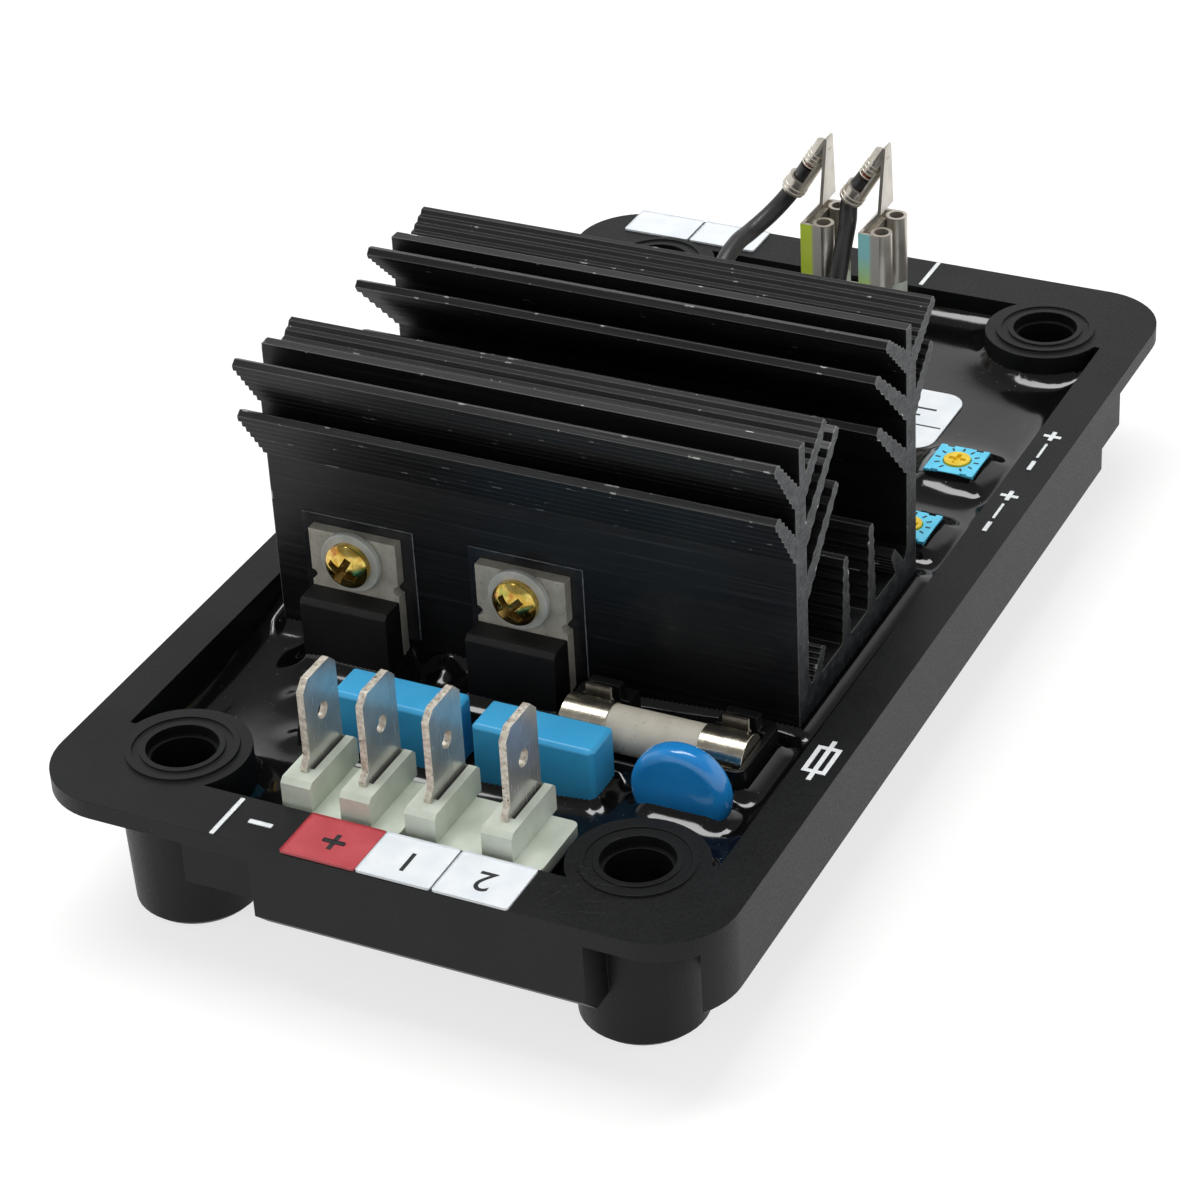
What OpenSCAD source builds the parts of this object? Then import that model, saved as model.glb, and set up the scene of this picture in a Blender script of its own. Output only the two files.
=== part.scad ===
// Automatic voltage regulator: a control board potted in a moulded tray, with
// a finned heat sink, two power transistors, quick-connect tabs, a fuse and
// two setting trimmers.
// X runs along the front edge where the four tabs stand, Y to the rear, Z up.
// The origin lies under the centre of the tray, in the plane of the leg ends.

/* [Tray] */
// Spacing of the mounting holes along the front edge
hole_dx = 50; // [48:0.5:60]
// Spacing of the mounting holes from front to rear
hole_dy = 112; // [106:0.5:130]
// Hole centre to the side edge of the rim
edge_x = 12; // [11:0.25:16]
// Hole centre to the end edge of the rim
edge_y = 11.5; // [10.5:0.25:16]
// Height of the rim above the leg ends
rim_h = 17.5; // [16:0.25:24]
// Corner radius of the rim
rim_r = 8; // [4:0.5:10]
// Thickness of the rim where it overhangs
flange_t = 2; // [1.5:0.1:3]
// Width of the rim along the sides
rim_side = 4.6; // [4:0.1:5.4]
// Width of the rim along the ends
rim_end = 6.8; // [6:0.1:8]
// Depth of the tray walls below the rim top
tray_depth = 10.9; // [10:0.1:14]
// Thickness of the tray floor
floor_t = 2; // [1.5:0.1:3]
// Wall left beside an open corner
wall_t = 2; // [1.5:0.1:2.2]
// Side wall left at a closed corner
closed_wall = 1.8; // [1.2:0.1:3]
// Bevel along the bottom edge of the tray
tray_bevel = 2.2; // [0.5:0.1:3]
// Clear space between a leg and the wall at an open corner
notch_gap = 7; // [3:0.5:12]
// Radius of a leg under the rim
leg_r = 7; // [6:0.1:7.5]
// Radius of a leg at its foot
leg_foot_r = 6.5; // [5.5:0.1:7]
// Bevel round the foot of a leg
foot_bevel = 0.7; // [0.3:0.1:1.5]
// Diameter of the mounting bore
bore_d = 6.6; // [5.5:0.1:7]
// Diameter of the counterbore at the rim
counter_d = 7.4; // [7.1:0.1:9]
// Depth of the counterbore
counter_depth = 1.2; // [0.5:0.1:3]
// Diameter of the raised collar round a bore
collar_d = 11.5; // [11:0.1:13]
// Height of the collar above the rim
collar_h = 0.3; // [0.2:0.1:1]

/* [Potting and board] */
// Resin surface below the rim top
resin_drop = 3.6; // [2.5:0.1:4]
// Thickness of the circuit board
board_t = 1.6; // [1:0.1:2]

/* [Heat sink] */
// Gap between an end of the heat sink and the rim
sink_end_gap = 2.7; // [1:0.1:5]
// Shift of the heat sink towards the left side
sink_shift = 0.5; // [0:0.1:1]
// Clear width between the two tall walls
sink_channel = 26.4; // [24:0.2:34]
// Thickness of a tall wall
sink_wall = 2.5; // [2:0.1:3.5]
// Height of the heat sink
sink_h = 33.8; // [32:0.2:44]
// Thickness of the heat sink base
sink_base = 5.3; // [4.5:0.1:7]
// Depth of the base in the resin
sink_sunk = 0.8; // [0.4:0.1:1.5]
// Thickness of a fin at its root
fin_root = 1.9; // [1.4:0.1:2.4]
// Thickness of a fin at its tip
fin_tip = 0.8; // [0.5:0.1:1.2]
// Number of ribs on each face of a fin
fin_ribs = 7; // [1:1:8]
// Height of a rib
rib_h = 0.26; // [0.1:0.02:0.4]

/* [Transistors] */
// Right transistor to the fuse holder
transistor_gap = 2.4; // [1:0.1:5]
// Spacing of the two transistors
transistor_pitch = 19.4; // [14:0.1:22]
// Width of a transistor
case_w = 10.2; // [9.6:0.1:11]
// Height of a transistor with its metal tab
case_h = 15.5; // [15:0.1:17]
// Gap between a bushing and the moulded body below it
body_gap = 0.6; // [0.4:0.1:1.6]
// Thickness of the moulded body in front of the tab
body_t = 3.2; // [2.6:0.1:4]
// Thickness of the metal tab
plate_t = 1.3; // [1:0.05:1.6]
// Screw centre below the top of the metal tab
screw_drop = 2.8; // [2.6:0.1:3.2]
// Screw height above the heat sink base
screw_z = 11.6; // [10.5:0.1:14]
// Width of an insulating sheet
sheet_w = 13; // [11.5:0.1:15]
// Height of an insulating sheet
sheet_h = 13; // [12:0.1:14.5]
// Thickness of an insulating sheet
sheet_t = 0.2; // [0.1:0.05:0.4]
// Sheet edge above the metal tab
sheet_over = 1; // [0.5:0.1:2]
// Diameter of a screw thread
screw_d = 3; // [2.5:0.1:3.2]
// Diameter of a screw head
head_d = 5; // [4.4:0.1:5.6]
// Height of a screw head
head_h = 2; // [1.6:0.1:2.6]
// Diameter of a bushing flange
bushing_d = 6.8; // [5.7:0.1:7.2]
// Thickness of a bushing flange
bushing_t = 0.8; // [0.5:0.1:1.2]
// Wall of the bushing sleeve
bushing_wall = 0.35; // [0.25:0.05:0.5]

/* [Terminals] */
// Right front block to the leg beside it
block_gap = 1.2; // [0.6:0.1:3]
// Gap between the two front blocks
block_split = 0.8; // [0.4:0.1:2]
// Tab spacing on the left front block
left_pitch = 6.5; // [6:0.1:8]
// Tab spacing on the right front block
right_pitch = 8.2; // [6:0.1:9]
// Tab spacing on the rear block
rear_pitch = 7.3; // [6.6:0.1:9]
// First rear tab left of the tray centre
rear_tab_x = 2.8; // [0:0.1:6]
// Depth of a block's plate
block_d = 8.6; // [8:0.1:9.4]
// Depth of a tab housing
house_d = 9.7; // [9.5:0.1:10.5]
// Thickness of a block's plate
block_plate = 1.2; // [0.8:0.1:1.6]
// Top of a block's plate below the rim top
block_drop = 0.6; // [0.2:0.1:1.2]
// Clear strip of plate beside the right housing
block_margin = 3; // [1:0.1:4]
// Width of a tab housing
house_w = 3.3; // [2.6:0.1:4]
// Height of a tab housing above its plate
house_h = 3.2; // [2.6:0.1:4]
// Width of a tab blade
tab_w = 6.35; // [6.2:0.05:6.5]
// Thickness of a tab blade
tab_t = 0.8; // [0.7:0.05:0.9]
// Height of a tab above its housing
tab_h = 9.8; // [8:0.1:11]
// Rear tab tip below the top of its receptacle
tip_gap = 0.5; // [0.4:0.1:1.5]
// Tab edge to the rear of its housing
tab_back = 0.5; // [0.3:0.1:1]
// Depth of a tab in its housing
tab_root = 2.4; // [1.5:0.1:2.5]
// Corner cut at a tab's tip
tab_cut = 1.1; // [0.6:0.1:1.8]
// Diameter of the hole in a tab
tab_hole = 1.8; // [1.4:0.1:2.2]
// Height of the hole above the housing
tab_hole_z = 4.9; // [4:0.1:6]
// Reach of a tab's shoulder at its foot
tab_foot = 0.8; // [0.4:0.1:1]

/* [Capacitors and varistor] */
// Length of a capacitor
cap_l = 13.4; // [11:0.1:14]
// Width of a capacitor
cap_w = 5; // [4.5:0.1:6]
// Height of a capacitor above the board
cap_h = 9.8; // [8:0.1:12]
// Edge bevel of a capacitor
cap_bevel = 0.4; // [0.2:0.1:0.8]
// Gap between the front blocks and the capacitors
cap_gap = 5.8; // [2:0.1:8]
// Right end of the right capacitor to the leg's centre line
cap_inset = 10.1; // [9:0.1:14]
// Gap between the two capacitors
cap_split = 2.4; // [1:0.1:6]
// Diameter of the varistor disc
varistor_d = 10.4; // [8:0.1:12]
// Thickness of the varistor disc
varistor_t = 3; // [2.8:0.1:4.5]
// Depth of the varistor in the resin
varistor_sunk = 2.5; // [0.4:0.1:3]
// Varistor to the fuse holder
varistor_gap = 2; // [0.8:0.1:3]
// Varistor centre to the right rim
varistor_inset = 8.9; // [6.5:0.1:12]

/* [Fuse] */
// Diameter of the ceramic tube
fuse_d = 4.9; // [4.6:0.1:5]
// Length of the fuse
fuse_l = 20; // [19:0.1:22]
// Wall of a fuse cap
fuse_cap_t = 0.15; // [0.1:0.05:0.3]
// Length of a fuse cap
fuse_cap_l = 5; // [4:0.1:6]
// Thickness of the clip strip
clip_t = 0.4; // [0.3:0.05:0.6]
// Width of a clip
clip_w = 2.8; // [2:0.1:3.5]
// Room round the clips in the holder
clip_room = 0.3; // [0.2:0.05:0.6]
// Length of the holder beyond the fuse
holder_over = 0.8; // [0.6:0.1:2]
// Front wall of the holder
holder_front = 0.6; // [0.5:0.1:1]
// Rear wall of the holder
holder_rear = 2.4; // [1.5:0.1:3]
// Holder trough above the board
holder_floor = 3.3; // [2.6:0.1:4.5]
// Height of the holder's side walls above its trough
holder_side = 1.8; // [0.8:0.1:2.4]
// Height of the holder's end blocks above its trough
holder_end = 4; // [3:0.1:4.5]
// Length of the holder's end blocks
holder_end_l = 6.2; // [5:0.1:7]
// Height of the stops behind the clips above the trough
holder_stop = 5.6; // [4.6:0.1:6.5]
// Thickness of the stops
holder_stop_t = 1.2; // [0.8:0.1:1.4]
// Gap between the capacitors and the holder
holder_gap = 0.4; // [0.3:0.1:3]
// Holder end to the right rim
holder_inset = 4; // [2:0.1:6]
// Gap between the holder and the heat sink
sink_gap = 2.7; // [1:0.1:6]

/* [Trimmers] */
// Side of a trimmer
trimmer_w = 5.8; // [5.4:0.1:7]
// Top of a trimmer above the resin
trimmer_up = 2.1; // [1.5:0.1:3]
// Trimmer centre to the right rim
trimmer_inset = 7.1; // [5:0.1:9]
// First trimmer centre behind the heat sink
trimmer_y = 7.7; // [5:0.1:12]
// Spacing of the trimmers
trimmer_pitch = 14.6; // [9:0.1:18]
// Diameter of a rotor
rotor_d = 3; // [2.4:0.1:3.6]
// Height of a rotor
rotor_h = 1; // [0.8:0.1:1.3]
// Running clearance round and under a rotor
rotor_room = 0.08; // [0.05:0.01:0.1]

/* [Label] */
// Length of the label on the resin
label_l = 13; // [10:0.5:16]
// Width of the label on the resin
label_w = 14; // [10:0.5:18]
// Corner radius of the label
label_r = 2.4; // [1:0.1:4]
// Thickness of the label
label_t = 0.2; // [0.1:0.05:0.3]
// Right edge of the label to the right rim
label_inset = 12.1; // [10:0.1:16]
// Front edge of the label behind the heat sink
label_y = 26; // [22:0.5:28]

/* [Leads and receptacles] */
// Length of a receptacle
socket_l = 8.4; // [8:0.1:9.5]
// Receptacle above its housing
socket_gap = 0.3; // [0.2:0.05:0.6]
// Side clearance of a tab in its receptacle
socket_room = 0.05; // [0.02:0.01:0.1]
// Thickness of the receptacle strip
strip_t = 0.4; // [0.3:0.05:0.5]
// Radius of a rolled edge
roll_r = 1.25; // [0.9:0.05:1.3]
// Width of the neck at the receptacle
neck_w = 4.8; // [4:0.1:5.6]
// Width of the neck at its fold
fold_w = 1.6; // [1.2:0.1:3]
// Offset of the neck from its tab
neck_x = 1.4; // [1.2:0.1:1.8]
// Height of the neck above the receptacle
neck_h = 9.8; // [8:0.1:11]
// Fall of the folded crimp from the neck's tip
crimp_fall = 7.4; // [6:0.1:8.5]
// Reach of the folded crimp from the neck
crimp_reach = 4.6; // [4:0.1:5.5]
// Diameter of a lead
lead_d = 2.1; // [1.6:0.1:2.3]
// Left lead's foot to the left of its tab
left_lead_side = 7.5; // [6.5:0.1:9]
// Left lead's foot in front of its tab
left_lead_front = 17.3; // [12:0.1:20]
// Right lead's foot to the left of its tab
right_lead_side = 3.2; // [3:0.1:3.4]
// Right lead's foot in front of its tab
right_lead_front = 5.8; // [5.4:0.1:8]

/* [Hidden] */
$fn = 48;
corners = [[-1, -1], [1, -1], [-1, 1], [1, 1]];
// A groove runs round the top of each collar, midway between its edge and its counterbore.
groove_w = 0.8;
groove_h = 0.2;
// Cuts run past the faces that they open by this much.
past = 1;

tray_w = hole_dx + 2*edge_x;
tray_l = hole_dy + 2*edge_y;
cav_w = tray_w - 2*rim_side;
cav_l = tray_l - 2*rim_end;
right_x = cav_w/2;
front_y = -cav_l/2;
wall_z = rim_h - tray_depth;
board_z = wall_z + floor_t;
deck_z = board_z + board_t;
resin_z = rim_h - resin_drop;
// The wall behind an open corner stops this far past the leg's axis.
leg_clear = 3;
// A closed corner is cut from just inside the leg's axis.
end_overlap = 0.4;
// The land beside a leg reaches this far in from the leg's axis.
land_in = 2;

// Terminal blocks stand just inside the front and rear rims.
block_edge = 0.4;
block_corner = 0.8;
foot_in = 1.2;
house_in = 0.3;
house_bevel = 0.5;
slot_side = 0.35;
slot_deep = 1;
slot_rear = 0.25;
block_y = front_y + block_edge;
block_z = rim_h - block_drop;
house_z = block_z + house_h;
block_right = hole_dx/2 - leg_r - block_gap;
right_block_x = block_right - house_w - right_pitch - block_margin;
left_block_x = right_block_x - block_split - house_w - left_pitch - block_margin;
tab_1_x = left_block_x + house_w/2;
tab_2_x = tab_1_x + left_pitch;
tab_3_x = right_block_x + house_w/2;
tab_4_x = tab_3_x + right_pitch;
tab_5_x = -rear_tab_x;
tab_6_x = tab_5_x + rear_pitch;
tab_mid = house_d - tab_back - tab_w/2;
tab_y = block_y + tab_mid;
rear_tab_y = -tab_y;
rear_tab_h = socket_gap + socket_l - tip_gap;
shoulder = 0.5;
// The rear tabs' shoulders stay in their housings, below the receptacles.
rear_shoulder = -tab_foot;

// Capacitors, fuse holder and heat sink follow one another to the rear.
cap_y = block_y + house_d + cap_gap;
cap_right_x = hole_dx/2 - cap_inset - cap_l;
cap_left_x = cap_right_x - cap_split - cap_l;
fuse_cap_r = fuse_d/2 + fuse_cap_t;
clip_r = fuse_cap_r + clip_t;
trough_r = clip_r + clip_room;
// A clip's arms end at these angles from its top; only the rear arm has a lip.
clip_rear_gap = 48;
clip_front_gap = 82;
clip_mouth = 2*clip_r;
lip_l = 1.5;
clip_foot = 1.2;
holder_y = cap_y + cap_w + holder_gap;
holder_d = holder_front + 2*trough_r + holder_rear;
holder_l = fuse_l + 2*holder_over;
holder_x = right_x - holder_inset - holder_l;
holder_r = 1.2;
trough_z = deck_z + holder_floor;
fuse_x = holder_x + holder_over;
fuse_y = holder_y + holder_front + trough_r;
fuse_z = trough_z + clip_r;
clip_xs = [fuse_x + (fuse_cap_l - clip_w)/2,
           fuse_x + fuse_l - (fuse_cap_l + clip_w)/2];
varistor_y = holder_y - varistor_gap - varistor_t/2;
varistor_x = right_x - varistor_inset;
varistor_z = resin_z - varistor_sunk + varistor_d/2;
varistor_edge = 1.2;

sink_len = cav_w - 2*sink_end_gap;
sink_x = -sink_len/2 - sink_shift;
sink_y = holder_y + holder_d + sink_gap;
sink_z = resin_z - sink_sunk;
sink_half = sink_channel/2;
sink_side = sink_half + sink_wall;
sink_back = sink_y + 2*sink_side;
// Fins of the tall walls: root below the top, reach and rise.
front_fins = [[11.6, 4.4, 6.4], [5.4, 4.3, 6]];
rear_fins = [[11.6, 4.6, 5.4], [5.4, 5.2, 4]];
inner_fins = [[17.3, 7.9, 8.4], [11, 8.2, 8.2], [5.4, 5.2, 5]];
fin_sink = 0.6;
prong_t = 1.3;
prong_h = 5.1;
// The rear wall's prong ends this much lower than the front one's.
rear_prong_drop = 1.2;
floor_fin_x = 3.4;
floor_fin_h = 9.7;
hook_root = 1.6;
hook_reach = 2.3;
hook_rise = 2.8;
root_fillet = 1.4;
fillet_mid = 1/3;

right_transistor_x = holder_x - transistor_gap - case_w/2;
transistor_xs = [right_transistor_x - transistor_pitch, right_transistor_x];
bolt_z = sink_z + screw_z;
case_top = bolt_z + screw_drop;
case_z = case_top - case_h;
body_h = case_h - screw_drop - bushing_d/2 - body_gap;
plate_y = sink_y - sheet_t;
body_y = plate_y - plate_t;
body_bevel = 0.5;
plate_notch = 0.6;
notch_up = 1.2;
head_round = 0.62;

trimmer_x = right_x - trimmer_inset;
trimmer_ys = [sink_back + trimmer_y, sink_back + trimmer_y + trimmer_pitch];
trimmer_z = resin_z + trimmer_up;
trimmer_notch = [0.8, 0.35, 1.2];
trimmer_notch_x = 1.7;
rotor_proud = 0.2;
slot_w = 0.5;
slot_d = 0.45;

label_x = right_x - label_inset - label_w/2;
label_mid_y = sink_back + label_y + label_l/2;

socket_z = house_z + socket_gap;
socket_top = socket_z + socket_l;
neck_top = socket_top + neck_h;
crimp_len = norm([crimp_reach, crimp_fall]);
crimp_turn = atan2(-crimp_reach, -crimp_fall);
wire_crimp_r = 1;
wire_crimp = [1, 4];
grip_crimp = [6.6, crimp_len];
grip_t = 0.4;
bridge_in = 1;
bridge_drop = 0.7;
neck_lean = 0.2;
neck_rise = 2;
lead_sides = 8;

function crimp_point(x, s) =
    [x + neck_x - crimp_reach*s/crimp_len, rear_tab_y, neck_top - crimp_fall*s/crimp_len];

// Each lead leaves its crimp and comes down into the resin. Its bends are shares of the run
// from the end of the crimp to its foot, along X, Y and Z.
left_lead_bends = [[0.465, 0.085, 0.15], [0.814, 0.247, 0.231], [0.93, 0.45, 0.243],
    [0.953, 0.68, 0.312], [0.977, 0.884, 0.509], [1, 0.988, 0.763]];
right_lead_bends = [[1, 0.15, 0.15], [1, 0.43, 0.312], [1, 0.705, 0.486], [1, 0.93, 0.705]];

function lead_route(x, foot, bends) =
    let (end = crimp_point(x, crimp_len), run = foot - end)
    concat([crimp_point(x, wire_crimp[1]), end],
        [for (b = bends) end + [run[0]*b[0], run[1]*b[1], run[2]*b[2]]], [foot]);

lead_1_route = lead_route(tab_5_x,
    [tab_5_x - left_lead_side, rear_tab_y - left_lead_front, resin_z], left_lead_bends);
lead_2_route = lead_route(tab_6_x,
    [tab_6_x - right_lead_side, rear_tab_y - right_lead_front, resin_z], right_lead_bends);

black = "#1b1b1d";
anodised = "#151517";
nylon = "#d5ddd0";
tin = "#c9c6bd";
cap_blue = "#3fa0d8";

// Shared shapes

module rounded_plan(w, l, r) {
    square([w - 2*r, l], center = true);
    square([w, l - 2*r], center = true);
    for (c = corners) translate([c[0]*(w/2 - r), c[1]*(l/2 - r)]) circle(r);
}

module bevelled_plan(w, l, b)
    polygon([[b, 0], [w - b, 0], [w, b], [w, l - b],
             [w - b, l], [b, l], [0, l - b], [0, b]]);

module bevelled_box(w, d, h, b)
    intersection() {
        linear_extrude(h) bevelled_plan(w, d, b);
        translate([0, d, 0]) rotate([90, 0, 0]) linear_extrude(d) bevelled_plan(w, h, b);
        along_x() linear_extrude(w) bevelled_plan(d, h, b);
    }

// Turns a drawing in Y and Z so that its extrusion runs along X.
module along_x() rotate([90, 0, 90]) children();

// Turns an upright shape so that it points to the front.
module to_front() rotate([90, 0, 0]) children();

// Tray, resin and board

module tray_plan() rounded_plan(tray_w, tray_l, rim_r);

module cavity_plan()
    difference() {
        square([cav_w, cav_l], center = true);
        for (c = corners) translate([c[0]*hole_dx/2, c[1]*hole_dy/2]) {
            circle(leg_r);
            translate([c[0]*edge_x/2, c[1]*(edge_y - land_in)/2])
                square([edge_x, edge_y + land_in], center = true);
        }
    }

// Space under the rim at a corner that is open to the side and to the end.
module open_notch() {
    translate([hole_dx/2 - leg_clear, hole_dy/2]) square([edge_x + leg_clear + past, edge_y + past]);
    translate([cav_w/2 + wall_t, hole_dy/2 - leg_r - notch_gap]) square([edge_x, tray_l]);
    translate([hole_dx/2 - leg_r - notch_gap, cav_l/2 + wall_t]) square([tray_w, edge_y]);
}

// Space under the rim at a corner that is open to the end only.
module end_notch()
    translate([hole_dx/2 - end_overlap, hole_dy/2])
        square([edge_x - closed_wall + end_overlap, edge_y + past]);

module corner_notches()
    for (a = [0, 180]) rotate(a) {
        open_notch();
        mirror([1, 0]) end_notch();
    }

// Outer form of the walls, bevelled all round its bottom edge.
module wall_form() {
    translate([0, 0, tray_bevel]) linear_extrude(tray_depth - tray_bevel) tray_plan();
    for (c = corners) translate([c[0]*(tray_w/2 - rim_r), c[1]*(tray_l/2 - rim_r), 0])
        cylinder(h = tray_bevel, r1 = rim_r - tray_bevel, r2 = rim_r);
    translate([0, tray_l/2 - rim_r, 0]) to_front() linear_extrude(tray_l - 2*rim_r) bevel_section(tray_w);
    translate([rim_r - tray_w/2, 0, 0]) along_x() linear_extrude(tray_w - 2*rim_r) bevel_section(tray_l);
}

module bevel_section(w)
    polygon([[-w/2 + tray_bevel, 0], [w/2 - tray_bevel, 0], [w/2, tray_bevel], [-w/2, tray_bevel]]);

module tray_walls()
    translate([0, 0, wall_z]) difference() {
        wall_form();
        translate([0, 0, -past]) linear_extrude(tray_depth - flange_t + past) corner_notches();
    }

module leg() {
    cylinder(h = foot_bevel, r1 = leg_foot_r - foot_bevel, r2 = leg_foot_r);
    translate([0, 0, foot_bevel]) cylinder(h = rim_h - foot_bevel, r1 = leg_foot_r, r2 = leg_r);
    translate([0, 0, rim_h]) cylinder(h = collar_h, d = collar_d);
}

module at_legs()
    for (c = corners) translate([c[0]*hole_dx/2, c[1]*hole_dy/2, 0]) children();

module potting_tray()
    color(black) difference() {
        union() {
            translate([0, 0, rim_h - flange_t]) linear_extrude(flange_t) tray_plan();
            tray_walls();
            at_legs() leg();
        }
        translate([0, 0, board_z]) linear_extrude(tray_depth) cavity_plan();
        at_legs() {
            translate([0, 0, -past]) cylinder(h = rim_h + 2*past, d = bore_d);
            translate([0, 0, rim_h + collar_h - counter_depth])
                cylinder(h = counter_depth + past, d = counter_d);
            translate([0, 0, rim_h + collar_h - groove_h]) linear_extrude(groove_h + past) difference() {
                circle(d = (collar_d + counter_d)/2 + groove_w);
                circle(d = (collar_d + counter_d)/2 - groove_w);
            }
        }
    }

module circuit_board()
    color("#2f6b45") translate([0, 0, board_z]) linear_extrude(board_t) cavity_plan();

// The resin closes round everything that stands in it.
module resin_fill()
    color("#0d0d0f") difference() {
        translate([0, 0, deck_z]) linear_extrude(resin_z - deck_z) cavity_plan();
        sink_foot();
        for (x = transistor_xs) {
            body_solid(x);
            plate_blank(x);
        }
        block_left();
        block_right();
        block_rear();
        cap_box(cap_left_x);
        cap_box(cap_right_x);
        varistor_disc();
        holder_block();
        for (y = trimmer_ys) trimmer_block(y);
    }

// Heat sink

function lerp(a, b, t) = a + (b - a)*t;

// One face of a tapered fin, with a rib at every second point.
function fin_face(root, tip, side) =
    let (run = tip - root, out = side*[-run[1], run[0]]/norm(run), steps = 2*fin_ribs)
    [for (i = [0:steps]) root + run*i/steps
        + out*(lerp(fin_root, fin_tip, i/steps)/2 + (i % 2 == 1 ? rib_h : 0))];

function reversed(list) = [for (i = [len(list) - 1:-1:0]) list[i]];

module fin(root, tip)
    polygon(concat(fin_face(root, tip, -1), reversed(fin_face(root, tip, 1))));

// One tall wall with its branching fins, on the positive side of the channel.
module wall_profile(outer_fins, prong_drop) {
    translate([sink_half, 0]) square([sink_wall, sink_h - prong_h]);
    translate([sink_half, sink_h - prong_h]) square([prong_t, prong_h - prong_drop]);
    for (f = outer_fins)
        fin([sink_side - fin_sink, sink_h - f[0]], [sink_side + f[1], sink_h - f[0] + f[2]]);
    for (f = inner_fins)
        fin([sink_half + fin_sink, sink_h - f[0]], [sink_half - f[1], sink_h - f[0] + f[2]]);
    translate([sink_half, sink_base])
        polygon(root_fillet*[[0, 0], [0, 1], [-fillet_mid, fillet_mid], [-1, 0]]);
}

module sink_profile() {
    translate([-sink_side, 0]) square([2*sink_side, sink_base]);
    wall_profile(rear_fins, rear_prong_drop);
    mirror([1, 0]) wall_profile(front_fins, 0);
    for (m = [0, 1]) mirror([m, 0]) {
        fin([floor_fin_x, sink_base - fin_sink], [floor_fin_x, sink_base + floor_fin_h]);
        fin([sink_half - hook_root, sink_base - fin_sink],
            [sink_half - hook_root - hook_reach, sink_base + hook_rise]);
    }
}

module sink_foot() translate([sink_x, sink_y, sink_z]) cube([sink_len, 2*sink_side, sink_base]);

module heat_sink()
    color(anodised) difference() {
        translate([sink_x, sink_y + sink_side, sink_z]) along_x() linear_extrude(sink_len) sink_profile();
        for (x = transistor_xs)
            translate([x, sink_y + sink_wall + past, bolt_z]) to_front()
                cylinder(h = sink_wall + 2*past, d = screw_d);
    }

// Transistors with their insulators and screws

module body_solid(x)
    translate([x - case_w/2, body_y, case_z]) along_x() linear_extrude(case_w)
        polygon([[0, 0], [0, body_h], [-body_t + body_bevel, body_h], [-body_t, body_h - body_bevel],
                 [-body_t, body_bevel], [-body_t + body_bevel, 0]]);

module plate_blank(x) translate([x - case_w/2, body_y, case_z]) cube([case_w, plate_t, case_h]);

module transistor_body(x) color(black) body_solid(x);

module transistor_plate(x)
    color("#b9b4a6") difference() {
        plate_blank(x);
        translate([x, plate_y + past, bolt_z]) to_front()
            cylinder(h = plate_t + 2*past, d = screw_d + 2*bushing_wall);
        for (s = [-1, 1]) translate([x + s*case_w/2, plate_y + past, case_z + body_h + notch_up])
            to_front() cylinder(h = plate_t + 2*past, r = plate_notch);
    }

module insulator(x)
    color("#3a3a3c") difference() {
        translate([x - sheet_w/2, plate_y, case_top + sheet_over - sheet_h])
            cube([sheet_w, sheet_t, sheet_h]);
        translate([x, sink_y + past, bolt_z]) to_front() cylinder(h = sheet_t + 2*past, d = screw_d);
    }

module bushing(x)
    color("#e4e2d8") translate([x, plate_y, bolt_z]) to_front() difference() {
        union() {
            cylinder(h = plate_t, d = screw_d + 2*bushing_wall);
            translate([0, 0, plate_t]) cylinder(h = bushing_t, d = bushing_d);
        }
        translate([0, 0, -past]) cylinder(h = plate_t + bushing_t + 2*past, d = screw_d);
    }

module screw(x)
    color("#c9a84e") translate([x, sink_y + sink_wall, bolt_z]) to_front() {
        shank = sink_wall + sheet_t + plate_t + bushing_t;
        cylinder(h = shank, d = screw_d);
        translate([0, 0, shank]) intersection() {
            cylinder(h = head_h, d = head_d);
            translate([0, 0, head_h - head_round*head_d]) sphere(r = head_round*head_d);
        }
    }

// Terminal blocks and tabs

module house_profile()
    polygon([[house_in, 0], [house_d, 0], [house_d, house_h - house_bevel],
             [house_d - house_bevel, house_h], [house_in + house_bevel, house_h],
             [house_in, house_h - house_bevel]]);

// Blade seen from its side, with its foot at the top of the housing.
module blade_profile(h, rise)
    polygon([[-tab_w/2 - tab_foot, -tab_root], [tab_w/2, -tab_root], [tab_w/2, h - tab_cut],
             [tab_w/2 - tab_cut, h], [-tab_w/2 + tab_cut, h], [-tab_w/2, h - tab_cut],
             [-tab_w/2, rise + tab_foot], [-tab_w/2 - tab_foot, rise]]);

module blade(h, rise)
    translate([-tab_t/2, 0, house_z]) along_x() linear_extrude(tab_t) difference() {
        blade_profile(h, rise);
        translate([0, tab_hole_z]) circle(d = tab_hole);
    }

// Block drawn from its left front corner, with a housing for each tab.
module terminal_block(pitch) {
    w = house_w + pitch + block_margin;
    color(nylon) difference() {
        union() {
            translate([foot_in, foot_in, deck_z])
                cube([w - 2*foot_in, block_d - 2*foot_in, block_z - block_plate - deck_z]);
            translate([w/2, block_d/2, block_z - block_plate]) linear_extrude(block_plate)
                rounded_plan(w, block_d, block_corner);
            for (i = [0, 1]) translate([i*pitch, 0, block_z]) along_x()
                linear_extrude(house_w) house_profile();
        }
        for (i = [0, 1]) translate([house_w/2 + i*pitch, tab_mid, 0]) {
            blade(tab_h, shoulder);
            translate([0, -tab_w/2, house_z - slot_deep])
                cube([tab_t/2 + slot_side, tab_w + slot_rear, slot_deep + past]);
        }
    }
}

module block_left() translate([left_block_x, block_y, 0]) terminal_block(left_pitch);
module block_right() translate([right_block_x, block_y, 0]) terminal_block(right_pitch);
module block_rear()
    translate([tab_6_x + house_w/2, -block_y, 0]) rotate(180) terminal_block(rear_pitch);

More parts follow.
